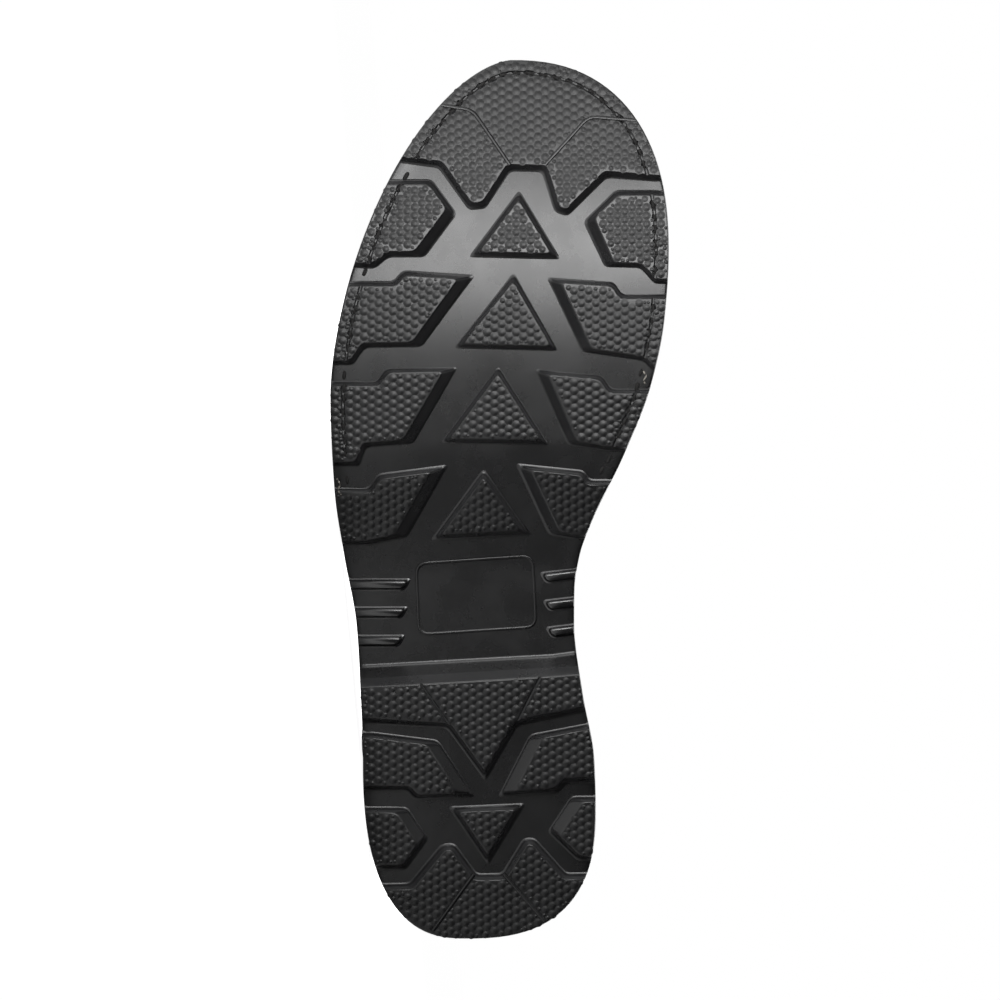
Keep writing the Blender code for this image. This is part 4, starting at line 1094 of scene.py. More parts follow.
@dataclass
class Outsole:
    """The moulded rubber sole: slab, tread blocks with domes, ribs, ridges, panel frame and the sewn line."""

    plan: SolePlan
    draft: float = 1.3
    crown_draft: float = 1.6
    waist_draft: float = 3.6
    long_wall: float = 11.0
    rim_draft: float = 0.1
    rim_inset: float = 0.12
    rim_clear: float = 1.2
    rim_lean: float = 1.3
    front_facing: float = 0.9
    slant_facing: float = 0.25
    waist_along: float = 112.0
    turn_radius: float = 1.7
    face_sink: float = 0.45
    toe_foot: float = 1.0
    slope_depth: float = 2.8
    bar_along: float = 90.0
    heel_foot: float = 1.9
    dome_pitch: float = 2.95
    dome_radii: tuple[float, ...] = (1.5, 1.25, 1.0, 0.8, 0.62)
    dome_spread: float = 1.13
    dome_height: float = 0.23
    dome_sides: int = 12
    dome_sink: float = 0.02
    dome_crowding: float = 0.68
    dome_looseness: tuple[float, float] = (0.04, 0.22)
    dome_margin: float = 0.6
    line_margin: tuple[float, float] = (0.55, 0.85)
    fill_step: float = 0.45
    face_edge: float = 0.4
    ridge_width: float = 1.25
    ridge_height: float = 0.43
    panel_sink: float = 0.17
    rib_height: float = 1.6
    rib_taper: float = 1.6
    bar_groove: tuple[float, float] = (0.6, 0.1)
    sew_inset: float = 4.6
    sew_pitch: float = 4.6
    channel_start: float = 168.5
    sew_channel: tuple[float, float] = (0.85, 0.35)
    sew_pit: tuple[float, float] = (3.7, 2.5)
    sew_thread: tuple[float, float] = (3.3, 1.5)
    thread_sink: float = 1.0
    tail_radius: float = 0.28
    sew_start: float = 158.7
    sew_end: float = 155.2
    groove_depth: float = 0.9
    groove_fade: tuple[float, float] = (95.0, 112.0)
    bend_start: float = 126.0
    bend_step: float = 7.0
    seed: int = 7
    blocks: list[list[BlockCorner]] = field(default_factory=list)
    faces: list[list[complex]] = field(default_factory=list)

    def build(self, shop: Workshop) -> None:
        """Makes every piece of the sole.

        Args:
            shop: The workshop.
        """
        loop = self.plan.edge_loop()
        rim = [point.inset(self.rim_inset) for point in loop]
        sewn = self.sewn_line(loop)
        self.blocks = [self.trimmed(self.closed(block), block, rim) for block in BLOCKS]
        self.faces = [self.ring(corners, 1.0, 0.0, self.face_edge) for corners in self.blocks]
        pitted, laid = self.sewing(sewn)
        cutters = [*self.channels(sewn), repeated(stitch_shape(*self.sew_pit), pitted)]
        treads = shop.cut([self.tread(corners) for corners in self.blocks], cutters)
        # The floor's stitches lie on the uncut slab, so their near-black thread also stands for the shade of
        # stitch pits: painted shade.
        threads = laid + [place @ Matrix.Translation((0.0, 0.0, -self.thread_sink)) for place in pitted]
        stitches = repeated(stitch_shape(*self.sew_thread), threads)
        shop.finish("outsole_slab", self.slab(loop), OUTSOLE_RUBBER, ("outsole",))
        for name, bm, look, sharp in (
                ("tread_blocks", treads, WALL_RUBBER, 38.0),
                ("shank_ribs", self.ribs(rim), SHANK_RUBBER, 50.0),
                ("tread_domes", self.domes(sewn), TREAD_RUBBER, 80.0),
                ("crown_ridges", self.ridges(), OUTSOLE_RUBBER, 60.0),
                ("panel_frame", self.panel(), OUTSOLE_RUBBER, 60.0),
                ("thread_tails", self.tails(), TAIL_THREAD, 80.0),
                ("sole_stitches", stitches, SOLE_THREAD_AND_PIT_SHADE, 80.0)):
            shop.finish(name, bm, look, sharp=sharp)

    def tails(self) -> BMesh:
        """The loose ends of the sewn line's thread."""
        strands = []
        for tail in THREAD_TAILS:
            points = [self.at(complex(along, across), self.face_height(complex(along, across)) - lift)
                      for along, across, lift in tail]
            strands.append(tube(smooth_path(points, 6), self.tail_radius, 8))
        return joined(strands)

    def slab(self, loop: Sequence[EdgePoint]) -> BMesh:
        """The sole under its blocks, with rounded edges and the grooves of its side.

        Args:
            loop: The sole's edge.

        Returns:
            The mesh.
        """
        columns = []
        for point in loop:
            foot, top = self.plan.floor(point.station), self.plan.top(point.along)
            heel = self.groove_depth * (1.0 - ease(*self.groove_fade, point.station))
            profile = [(inset, foot + rise) for inset, rise in FOOT_EDGE]
            profile += [(heel * depth, foot + (top - foot) * share) for share, depth in SIDE_GROOVE]
            profile += [(self.groove_depth * depth, top - below) for below, depth in TOP_GROOVE]
            profile += [(inset, top - below) for inset, below in TOP_EDGE]
            columns.append([self.at(point.inset(inset), height) for inset, height in profile])
        rings = [list(ring) for ring in zip(*columns)]
        bm = fresh()
        skin(bm, rings, closed=True)
        half = len(loop) // 2
        for ring in (rings[0], rings[-1]):
            skin(bm, [ring[:half], ring[half:][::-1]])
        bmesh.ops.remove_doubles(bm, verts=bm.verts, dist=1e-4)
        return capped(bm)

    @staticmethod
    def at(place: complex, height: float) -> Vector:
        """A place on the boot from its plan place and height."""
        return Vector((place.real, place.imag, height))

    def closed(self, block: Block) -> list[complex]:
        """Corners of a block, anticlockwise, carried beyond the sole's edge where it runs off it."""
        corners = [complex(*corner) for corner in block.corners]
        first, last = corners[0].real, corners[-1].real
        aside = {Reach.INNER: FAR_OUT, Reach.OUTER: -FAR_OUT}.get(block.reach)
        if aside is not None:
            corners += [complex(last, aside), complex(first, aside)]
        elif block.reach is not Reach.FREE:
            beyond = self.plan.length + FAR_OUT if block.reach is Reach.TOE else -FAR_OUT
            corners += [complex(last, FAR_OUT), complex(beyond, FAR_OUT), complex(beyond, -FAR_OUT),
                        complex(first, -FAR_OUT)]
        return anticlockwise(corners)

    def lean(self, block: Block, run: complex) -> float:
        """How far a block's wall leans in; slanted walls that face the waist are laid well back.

        Args:
            block: The block.
            run: The wall's direction in plan.

        Returns:
            The lean.
        """
        if block.reach in (Reach.TOE, Reach.HEEL):
            return self.crown_draft
        facing = (unit(run) * -1j).real
        if block.front_draft is not None and facing > self.front_facing:
            return block.front_draft
        towards_waist = -facing if block.corners[0][0] > self.waist_along else facing
        slanted = self.slant_facing < towards_waist < self.front_facing and abs(run) > self.long_wall
        return self.waist_draft if slanted and block.reach is not Reach.FREE else self.draft

    def trimmed(self, corners: Sequence[complex], block: Block, rim: Sequence[complex]) -> list[BlockCorner]:
        """A block's outline, trimmed to the sole's rim.

        Args:
            corners: Its corners, some of them beyond the rim.
            block: The block.
            rim: The rim, anticlockwise.

        Returns:
            The trimmed outline's corners.
        """
        start = next(index for index, corner in enumerate(corners) if within(corner, rim))
        ordered = [*corners[start:], *corners[:start]]
        made: list[BlockCorner] = []
        left_at, left_lean = 0.0, 0.0
        inside = True
        for a, b in zip(ordered, ordered[1:] + ordered[:1]):
            lean = self.lean(block, b - a)
            flares = lean != block.front_draft
            if inside:
                made.append(BlockCorner(a, True, lean, flares))
            for t, position in sorted(self.crossings(a, b, rim)):
                if inside:
                    made.append(BlockCorner(a + (b - a) * t, False, self.rim_draft, False))
                    left_at, left_lean = position, lean
                else:
                    arrival = a + (b - a) * t
                    walk = self.along_rim(rim, left_at, position)
                    far, left_far = (self.rim_clear + self.rim_lean * wall for wall in (lean, left_lean))
                    made += [corner for corner in walk if abs(corner.place - arrival) > far
                             and abs(corner.place - made[-1].place) > left_far]
                    made.append(BlockCorner(arrival, False, lean, flares))
                inside = not inside
        return made

    @staticmethod
    def crossings(a: complex, b: complex, rim: Sequence[complex]) -> list[tuple[float, float]]:
        """Where a wall crosses the rim: shares of the wall and positions round the rim."""
        found = []
        for index, start in enumerate(rim):
            run = rim[(index + 1) % len(rim)] - start
            turn = cross(b - a, run)
            if abs(turn) > 1e-9:
                t, s = cross(start - a, run) / turn, cross(start - a, b - a) / turn
                if 0.0 <= t <= 1.0 and 0.0 <= s < 1.0:
                    found.append((t, index + s))
        return found

    def along_rim(self, rim: Sequence[complex], start: float, end: float) -> list[BlockCorner]:
        """Corners round the rim from one crossing to the next."""
        count = len(rim)
        if end < start:
            end += count
        places = [rim[index % count] for index in range(math.ceil(start), math.floor(end) + 1)]
        return [BlockCorner(place, False, self.rim_draft, False) for place in places]

    def ring(self, corners: Sequence[BlockCorner], share: float, flare: float, draw: float,
             lean: float | None = None) -> list[complex]:
        """A block's outline at one level.

        Args:
            corners: Its trimmed corners.
            share: How far up its walls the level is.
            flare: How far those walls that flare spread there.
            draw: How far all its walls draw in there.
            lean: How far up its long slanted walls the level is, when that differs.

        Returns:
            The outline's places, with round turns.
        """
        lean = share if lean is None else lean
        following = [*corners[1:], corners[0]]
        runs = [unit(after.place - corner.place) for corner, after in zip(corners, following)]
        shifts = [corner.draft * (lean if corner.draft > self.crown_draft else share) + draw
                  - (flare if corner.flares else 0.0) for corner in corners]
        moved = []
        for index, corner in enumerate(corners):
            before, after = runs[index - 1], runs[index]
            first, second = shifts[index - 1], shifts[index]
            turn = cross(before, after)
            if abs(turn) > 0.05:
                moved.append(corner.place + (before * -second + after * first) / turn)
            else:
                moved.append(corner.place + unit(before + after) * 1j * (first + second) / 2)
        return rounded(moved, [corner.is_turn for corner in corners], self.turn_radius)

    def bent(self, bm: BMesh) -> None:
        """Cuts a flat shape across and bends it to the tread line.

        Args:
            bm: The mesh.
        """
        for station in np.arange(self.bend_start, self.plan.length, self.bend_step):
            bmesh.ops.bisect_plane(bm, geom=[*bm.verts, *bm.edges, *bm.faces], plane_co=(station, 0, 0),
                                   plane_no=(1, 0, 0), dist=1e-5)
        for vertex in bm.verts:
            vertex.co.z += self.plan.tread_line(self.plan.station_of(vertex.co.x, vertex.co.y))

    def tread(self, corners: Sequence[BlockCorner]) -> BMesh:
        """One tread block, with a hollow foot, leaning walls and a rounded face edge."""
        depth = self.plan.lug_depth
        rings = []
        at_heel = corners[0].place.real < self.waist_along
        is_bar = max(corner.place.real for corner in corners) > self.bar_along
        for level in self.levels(self.heel_foot if at_heel else self.toe_foot):
            share = 1.0 - level.depth / depth
            slope = (self.slope_depth - level.depth) / (self.slope_depth - self.face_sink)
            lean = min(max(slope, 0.0), 1.0) if at_heel and not is_bar else share
            outline = self.ring(corners, share, level.flare, level.draw, lean)
            rings.append([self.at(place, level.depth) for place in outline])
        bm = fresh()
        skin(bm, rings, closed=True)
        capped(bm)
        split_faces(bm)
        self.bent(bm)
        bmesh.ops.dissolve_degenerate(bm, edges=bm.edges, dist=0.02)
        split_faces(bm)
        return bm

    def levels(self, foot: float) -> list[BlockLevel]:
        """The rings round a tread block from under the floor, over its hollow foot, up to its face."""
        depth, face = self.plan.lug_depth, self.face_sink
        low = [BlockLevel(depth + 0.1, 0.75 * foot, 0.0), BlockLevel(depth + 0.03, 0.52 * foot, 0.0)]
        low += [BlockLevel(depth - rise * foot, flare * foot, 0.0)
                for rise, flare in ((0.03, 0.36), (0.1, 0.2), (0.26, 0.07), (0.5, 0.0))]
        low.append(BlockLevel(self.slope_depth, 0.0, 0.0))
        return low + [BlockLevel(face + sink, 0.0, draw)
                      for sink, draw in ((0.45, 0.0), (0.16, 0.06), (0.03, 0.18), (0.0, 0.36), (0.0, 0.5))]

    def ribs(self, rim: Sequence[complex]) -> BMesh:
        """The low bars across each side of the shank.

        Args:
            rim: The sole's rim.

        Returns:
            The mesh.
        """
        bm = fresh()
        for rib in SHANK_RIBS:
            reach = (FAR_OUT - abs(rib.inner)) * rib.slant
            out = rib.side.value * FAR_OUT
            corners = [complex(rib.front, rib.inner), complex(rib.front + reach, out),
                       complex(rib.front + reach - rib.width, out),
                       complex(rib.front - rib.width, rib.inner + rib.side.value * self.rib_taper)]
            outline = self.trimmed(anticlockwise(corners), Block(Reach.FREE, ((rib.front, 0.0),)), rim)
            trimmed = [BlockCorner(corner.place, corner.is_turn, 0.0, corner.flares) for corner in outline]
            floor = self.plan.floor(rib.front - rib.width / 2)
            levels = [(floor + 0.8, 0.9, 0.0), (floor + 0.02, 0.9, 0.0), (floor - 0.12, 0.5, 0.0),
                      (floor - 0.45, 0.18, 0.0), (floor - 0.9, 0.0, 0.0), (floor - 1.25, 0.0, 0.1),
                      (floor - 1.5, 0.0, 0.35), (floor - self.rib_height, 0.0, 0.75)]
            skin(bm, [[self.at(place, height) for place in self.ring(trimmed, 0.0, flare, draw)]
                      for height, flare, draw in levels], closed=True)
        return capped(bm)

    def face_height(self, place: complex) -> float:
        """Height of a block's face at a plan place."""
        return self.plan.tread_line(self.plan.station_of(place.real, place.imag)) + self.face_sink

    def sewn_line(self, loop: Sequence[EdgePoint]) -> list[complex]:
        """A line inside the sole's edge from the outer waist round the toe to the inner waist."""
        half = len(loop) // 2
        outer = [point.inset(self.sew_inset) for point in loop[half:] if point.along > self.sew_start]
        inner = [point.inset(self.sew_inset) for point in loop[:half] if point.along > self.sew_end]
        return outer + inner

    def channels(self, sewn: Sequence[complex]) -> list[BMesh]:
        """What is cut from the blocks: the sewn line's channel and the heel bar's grooves."""
        front = [place for place in sewn if place.real > self.channel_start]
        grooves = [([complex(*end) for end in ends], self.bar_groove) for ends in BAR_GROOVES]
        return [tube([self.at(place, self.face_height(place) - below) for place in path], radius, 10)
                for path, (radius, below) in [(front, self.sew_channel), *grooves]]

    def domes(self, sewn: Sequence[complex]) -> BMesh:
        """The low domes that cover every block's face.

        Args:
            sewn: The sewn line, which the domes leave free.

        Returns:
            The mesh.
        """
        chance = random.Random(self.seed)
        lines = [self.drawn(line) for line in (*CROWN_RIDGES, *BAR_GROOVES)] + [sewn]
        places = []
        for face in self.faces:
            for place, radius in self.dome_spots(face, lines):
                loose = self.dome_looseness[0 if radius == self.dome_radii[0] else 1]
                shift = complex(chance.uniform(-loose, loose), chance.uniform(-loose, loose))
                grown = 1.0 + chance.uniform(-1.5, 1.0) * loose
                tall = self.dome_height * grown * (radius / self.dome_radii[0]) ** 0.5
                places.append(self.standing(place + shift, radius, tall))
        return repeated(self.dome(), places)

    def dome_spots(self, face: Sequence[complex],
                   lines: Sequence[Sequence[complex]]) -> list[tuple[complex, float]]:
        """Domes on one face: a close hexagonal pattern, and smaller ones crowded into what it leaves bare.

        Args:
            face: The face's outline.
            lines: Paths on it that stay bare.

        Returns:
            A place and a radius for each dome.
        """
        outline = np.array(face)
        low = outline.real.min() + 1j * outline.imag.min()
        high = outline.real.max() + 1j * outline.imag.max()
        step = self.dome_pitch * math.sqrt(3.0) / 2.0
        rows = range(math.floor(low.imag / step), math.ceil(high.imag / step))
        columns = range(math.floor(low.real / self.dome_pitch), math.ceil(high.real / self.dome_pitch))
        pattern = [complex((column + row % 2 / 2.0) * self.dome_pitch, row * step)
                   for row in rows for column in columns]
        along, across = np.meshgrid(np.arange(low.real, high.real, self.fill_step),
                                    np.arange(low.imag, high.imag, self.fill_step))
        fill = (along + 1j * across).ravel()
        made: list[tuple[complex, float]] = []
        for radius in self.dome_radii:
            spots = fill if made else np.array(pattern)
            free = within(spots, face) & (off_path(spots, [*face, face[0]]) > radius * self.dome_margin)
            for line in lines:
                free &= off_path(spots, line) > self.line_margin[0] + radius * self.line_margin[1]
            for place, size in made:
                free &= np.abs(spots - place) > size + radius * self.dome_crowding
            spots = spots[free]
            while len(spots):
                made.append((complex(spots[0]), radius))
                spots = spots[np.abs(spots - spots[0]) > radius * (1.0 + self.dome_crowding)]
        return made

    def dome(self) -> BMesh:
        """A low dome of unit base radius and unit height that runs out softly at its foot."""
        turns = [math.tau * step / self.dome_sides for step in range(self.dome_sides)]
        bm = fresh()
        skin(bm, [[Vector((radius * math.cos(turn), radius * math.sin(turn), height)) for turn in turns]
                  for radius, height in DOME_RINGS], closed=True)
        top = [edge for edge in bm.edges if edge.is_boundary and edge.verts[0].co.z > 0.5]
        bmesh.ops.holes_fill(bm, edges=top, sides=0)
        bmesh.ops.recalc_face_normals(bm, faces=bm.faces)
        return bm

    def standing(self, place: complex, size: float, tall: float) -> Matrix:
        """Matrix of a dome that stands out of a face towards the ground, tilted with the tread line."""
        step = 0.5
        slope = (self.face_height(place + step) - self.face_height(place - step)) / (2 * step)
        tilt = Matrix.Rotation(-math.atan(slope), 4, "Y") @ Matrix.Rotation(math.pi, 4, "X")
        spot = self.at(place, self.face_height(place) + self.dome_sink)
        wide = size * self.dome_spread
        return Matrix.Translation(spot) @ tilt @ Matrix.Diagonal((wide, wide, tall + self.dome_sink, 1.0))

    def raised_line(self, bm: BMesh, path: Sequence[complex], height: Callable[[complex], float],
                    closed: bool) -> None:
        """Adds a thin half-round line along a plan path.

        Args:
            bm: The mesh that takes it.
            path: The plan path.
            height: Height of the surface that it stands on.
            closed: Whether the path is a ring.
        """
        rows = []
        count = len(path)
        for aside, rise in RIDGE_ROWS:
            row = []
            for index, place in enumerate(path):
                before = path[index - 1] if closed else path[max(index - 1, 0)]
                after = path[(index + 1) % count] if closed else path[min(index + 1, count - 1)]
                spot = place + unit(after - before) * 1j * aside * self.ridge_width
                row.append(self.at(spot, height(spot) - rise * self.ridge_height))
            rows.append(row)
        skin(bm, rows, closed)

    @staticmethod
    def drawn(corners: Sequence[tuple[float, float]]) -> list[complex]:
        """A plan path through corners with round bends, in short steps."""
        bends = rounded([complex(*corner) for corner in corners],
                        [0 < index < len(corners) - 1 for index in range(len(corners))], 3.0)
        return stepped(bends) + [bends[-1]]

    def ridges(self) -> BMesh:
        """The thin ridges across the toe's and the heel's end blocks."""
        bm = fresh()
        for ridge in CROWN_RIDGES:
            self.raised_line(bm, self.drawn(ridge), self.face_height, closed=False)
        return capped(bm)

    def panel(self) -> BMesh:
        """The thin frame round the bare field of the shank."""
        corners = rounded([complex(*corner) for corner in PANEL_CORNERS], [True] * 4, 4.0, 6)
        bm = fresh()

        def low(spot: complex) -> float:
            """Height of the floor under the frame, with the frame set a little into it."""
            return self.plan.floor(self.plan.station_of(spot.real, spot.imag)) + self.panel_sink

        self.raised_line(bm, stepped([*corners, corners[0]]), low, closed=True)
        return capped(bm)

    def sewing(self, sewn: Sequence[complex]) -> tuple[list[Matrix], list[Matrix]]:
        """Places of the sewn line's stitches, on the blocks' faces and on the floor between them.

        Args:
            sewn: The sewn line.

        Returns:
            Matrices of the stitches on the faces and of those on the floor, with x along the line and z
            out of the sole.
        """
        chance = random.Random(self.seed)
        feet = [self.ring(corners, 0.0, 0.8, 0.0) for corners in self.blocks]
        trail = [(self.at(place, 0.0), Vector((0.0, 0.0, -1.0))) for place in sewn]
        rows = along_trail(trail, self.sew_pitch)
        spots = np.array([complex(row.translation.x, row.translation.y) for row in rows])
        on_face = np.any([within(spots, face) for face in self.faces], axis=0)
        on_wall = np.any([within(spots, foot) for foot in feet], axis=0) & ~on_face
        pitted, laid = [], []
        for index in np.flatnonzero(~on_wall):
            spot = complex(spots[index])
            floor = self.plan.floor(self.plan.station_of(spot.real, spot.imag))
            height = self.face_height(spot) if on_face[index] else floor
            shift = Matrix.Translation((chance.uniform(-0.4, 0.4), chance.uniform(-0.25, 0.25), 0.0))
            turn = Matrix.Rotation(chance.uniform(-0.14, 0.14), 4, "Z")
            uneven = shift @ (turn @ Matrix.Scale(chance.uniform(0.85, 1.1), 4))
            stitch = Matrix.Translation((0.0, 0.0, height)) @ rows[index] @ uneven
            (pitted if on_face[index] else laid).append(stitch)
        return pitted, laid


# Upper


@dataclass(frozen=True)
class Section:
    """A half section of the last: its foot's share of the way from toe to heel, its lean, and its top."""

    around: float
    bulge: float
    rise: float
    top_along: float
    top_half: float
    top_height: float
    lean: float
    spread: float
    drop: float


SECTIONS = (
    Section(0.00, 5.0, 27.0, 279.0, 0.0, 71.0, 17.0, 0.0, 3.6),
    Section(0.06, 5.0, 27.0, 277.0, 0.0, 71.6, 13.0, 13.0, 3.0),
    Section(0.12, 5.0, 28.0, 271.0, 0.0, 73.0, 6.0, 22.0, 1.4),
    Section(0.18, 5.0, 29.0, 260.0, 0.0, 75.6, 2.0, 26.0, 0.5),
    Section(0.26, 5.0, 31.0, 241.0, 0.0, 80.4, 0.0, 28.0, 0.0),
    Section(0.34, 4.5, 33.0, 222.0, 0.0, 87.0, 0.0, 28.0, 0.0),
    Section(0.42, 4.0, 35.0, 205.0, 0.0, 95.0, 0.0, 26.0, 0.0),
    Section(0.50, 3.5, 37.0, 190.0, 0.0, 103.5, 0.0, 24.0, 0.0),
    Section(0.56, 3.5, 39.0, 178.0, 10.0, 111.0, -3.0, 20.0, 8.0),
    Section(0.62, 4.0, 41.0, 160.0, 13.0, 125.5, -4.0, 20.0, 15.0),
    Section(0.68, 4.0, 43.0, 140.0, 15.0, 146.0, -6.0, 20.0, 26.0),
    Section(0.74, 4.5, 44.0, 123.0, 17.0, 172.0, -5.0, 15.0, 38.0),
    Section(0.80, 4.5, 42.0, 102.0, 31.0, 176.5, 0.0, 3.0, 48.0),
    Section(0.87, 5.0, 38.0, 66.0, 38.0, 174.0, 1.0, -1.0, 52.0),
    Section(0.94, 7.0, 34.0, 28.0, 29.0, 171.0, 6.0, -2.0, 54.0),
    Section(1.00, 9.0, 32.0, 10.0, 0.0, 170.0, 9.0, 0.0, 56.0),
)
ODD_COLUMNS = ("top_half", "spread")
CENTRE_LINE = ((0.0, -4.0), (60.0, -2.4), (120.0, -1.6), (160.0, 1.0), (200.0, 5.0), (240.0, 10.0),
               (280.0, 12.6), (310.5, 11.4))
FEATHER_MARGIN = ((60.0, 4.2), (130.0, 6.6), (200.0, 8.6))
# The section where the throat has its full width.
OPENING = SECTIONS[8]
SEAM_AROUND = 0.50
BACKSTAY_AROUND = 0.955
THROAT_TOP = 0.74
THROAT_START = 0.507
THROAT_FOOT = 0.04
QUARTER_STEP = 1.3


class Last:
    """The shape of the upper's outer face before its raised layers."""

    def __init__(self, plan: SolePlan) -> None:
        """Reads the sections.

        Args:
            plan: The sole's plan.
        """
        self.plan = plan
        names = [name for name in Section.__dataclass_fields__ if name != "around"]
        self.columns = {name: self.mirrored_column(name) for name in names}
        self.feet = {side: self.foot_line(side) for side in Side}
        self.known: dict[float, tuple[Vector, Vector, Vector, Vector]] = {}

    @staticmethod
    def mirrored_column(name: str) -> list[tuple[float, float]]:
        """One column of the sections, carried past toe and heel so that both sides meet smoothly."""
        sign = -1.0 if name in ODD_COLUMNS else 1.0
        rows = [(row.around, getattr(row, name)) for row in SECTIONS]
        return [(-rows[1][0], sign * rows[1][1])] + rows + [(2.0 - rows[-2][0], sign * rows[-2][1])]

    def edge_points(self, side: Side, steps: int = 40) -> list[complex]:
        """The sole's edge on one side from toe to heel, evenly enough for both round ends."""
        toe, heel = self.plan.toe_ends[side], self.plan.heel_ends[side]
        toe_tip, heel_tip, length = self.plan.toe_tip, self.plan.heel_tip, self.plan.length
        points = []
        for step in range(steps + 1):
            angle = math.pi / 2 * (1.0 - step / steps)
            points.append(complex(toe.start + (length - toe.start) * math.sin(angle) ** (2.0 / toe.power),
                                  toe_tip + (toe.edge - toe_tip) * math.cos(angle) ** (2.0 / toe.power)))
        for step in range(1, steps):
            along = toe.start + (heel.start - toe.start) * step / steps
            points.append(complex(along, self.plan.edge(side, along)))
        for step in range(steps + 1):
            angle = math.pi / 2 * step / steps
            points.append(complex(heel.start - heel.start * math.sin(angle) ** (2.0 / heel.power),
                                  heel_tip + (heel.edge - heel_tip) * math.cos(angle) ** (2.0 / heel.power)))
        return points

    def foot_line(self, side: Side) -> tuple[list[float], list[complex], list[complex]]:
        """Travelled shares, places and outward normals along the upper's lower edge on one side."""
        own = self.edge_points(side)
        other = self.edge_points(Side(-side.value))
        ends = [other[1], *own, other[-2]]
        normals = [unit(after - before) * -1j * side.value for before, after in zip(ends, ends[2:])]
        places = [place - normal * through(FEATHER_MARGIN, place.real) for place, normal in zip(own, normals)]
        lengths = [0.0]
        for before, after in zip(places, places[1:]):
            lengths.append(lengths[-1] + abs(after - before))
        return [length / lengths[-1] for length in lengths], places, normals

    def foot(self, side: Side, around: float) -> tuple[complex, complex]:
        """Plan place and outward normal of the lower edge at a share of the way round."""
        shares, places, normals = self.feet[side]
        index = min(max(bisect.bisect_right(shares, around) - 1, 0), len(shares) - 2)
        t = (around - shares[index]) / (shares[index + 1] - shares[index])
        return (places[index] * (1 - t) + places[index + 1] * t,
                unit(normals[index] * (1 - t) + normals[index + 1] * t))

    def controls(self, u: float) -> tuple[Vector, Vector, Vector, Vector]:
        """The four control places of the section at u: -1 and 1 at the heel's back, 0 at the toe."""
        u = (u + 1.0) % 2.0 - 1.0
        if u not in self.known:
            side, around = (Side.INNER if u >= 0 else Side.OUTER), abs(u)
            row = {name: through(column, around) for name, column in self.columns.items()}
            place, normal = self.foot(side, around)
            half = row["top_half"]
            if SEAM_AROUND < around < OPENING.around:
                share = min(max((around - THROAT_START) / THROAT_FOOT, 0.0), 1.0)
                half = OPENING.top_half * math.sqrt(1.0 - (1.0 - share) ** 2)
            foot = Vector((place.real, place.imag, self.plan.top(place.real) + GAP))
            low = foot + Vector((normal.real * row["bulge"], normal.imag * row["bulge"], row["rise"]))
            top = Vector((row["top_along"], through(CENTRE_LINE, row["top_along"]) + side.value * half,
                          row["top_height"]))
            high = top + Vector((row["lean"], side.value * row["spread"], -row["drop"]))
            self.known[u] = (foot, low, high, top)
        return self.known[u]

    def point(self, u: float, v: float) -> Vector:
        """Place on the last: u round the foot, v from 0 at the sole to 1 at the top."""
        foot, low, high, top = self.controls(u)
        w = 1.0 - v
        return foot * w ** 3 + low * (3 * w * w * v) + high * (3 * w * v * v) + top * v ** 3

    def normal(self, u: float, v: float) -> Vector:
        """Outward normal of the last, level at its foot so that the lower edge sits flat."""
        du, dv = 0.004, 0.01
        if abs(u) > THROAT_START:
            v = min(v, 0.95)
        across = self.point(u + du, v) - self.point(u - du, v)
        rise = self.point(u, min(v + dv, 1.0)) - self.point(u, max(v - dv, 0.0))
        out = across.cross(rise)
        if v == 0.0:
            out.z = 0.0
        return out.normalized()

    def throat_line(self, around: float) -> tuple[Vector, Vector]:
        """Middle of the throat at a section, and the direction in which it climbs."""
        middles = [(self.point(share, 1.0) + self.point(-share, 1.0)) / 2
                   for share in (around - 0.01, around, around + 0.01)]
        return middles[1], (middles[2] - middles[0]).normalized()

    def below_top(self, u: float, distance: float) -> float:
        """Level at a distance under the top edge, along its section."""
        v, length, step = 1.0, 0.0, 0.005
        while length < distance:
            length += (self.point(u, v) - self.point(u, v - step)).length
            v -= step
        return v


@dataclass(frozen=True)
class Crease:
    """A worn crease: where it runs over the last as (u, v), and its depth and half width."""

    run: tuple[tuple[float, float], ...]
    depth: float
    width: float


CREASES = (
    Crease(((0.285, 0.46), (0.325, 0.72), (0.345, 1.0), (-0.345, 1.0), (-0.325, 0.74),
            (-0.30, 0.50)), 1.5, 4.2),
    Crease(((0.335, 0.40), (0.375, 0.68), (0.40, 1.0), (-0.40, 1.0), (-0.37, 0.70),
            (-0.335, 0.42)), 1.8, 4.6),
    Crease(((0.395, 0.52), (0.425, 0.74), (0.45, 1.0), (-0.45, 1.0), (-0.43, 0.82)), 1.1, 3.6),
    Crease(((0.56, 0.42), (0.61, 0.56), (0.68, 0.60), (0.74, 0.56)), 1.2, 5.0),
    Crease(((0.60, 0.70), (0.66, 0.75), (0.73, 0.72), (0.79, 0.66)), 1.3, 5.0),
    Crease(((-0.57, 0.44), (-0.62, 0.58), (-0.69, 0.62), (-0.75, 0.57)), 1.2, 5.0),
    Crease(((-0.61, 0.72), (-0.67, 0.76), (-0.74, 0.72), (-0.80, 0.65)), 1.2, 5.0),
    Crease(((0.86, 0.60), (0.91, 0.56), (0.945, 0.55)), 1.0, 5.0),
    Crease(((-0.86, 0.61), (-0.91, 0.57), (-0.945, 0.56)), 1.0, 5.0),
)


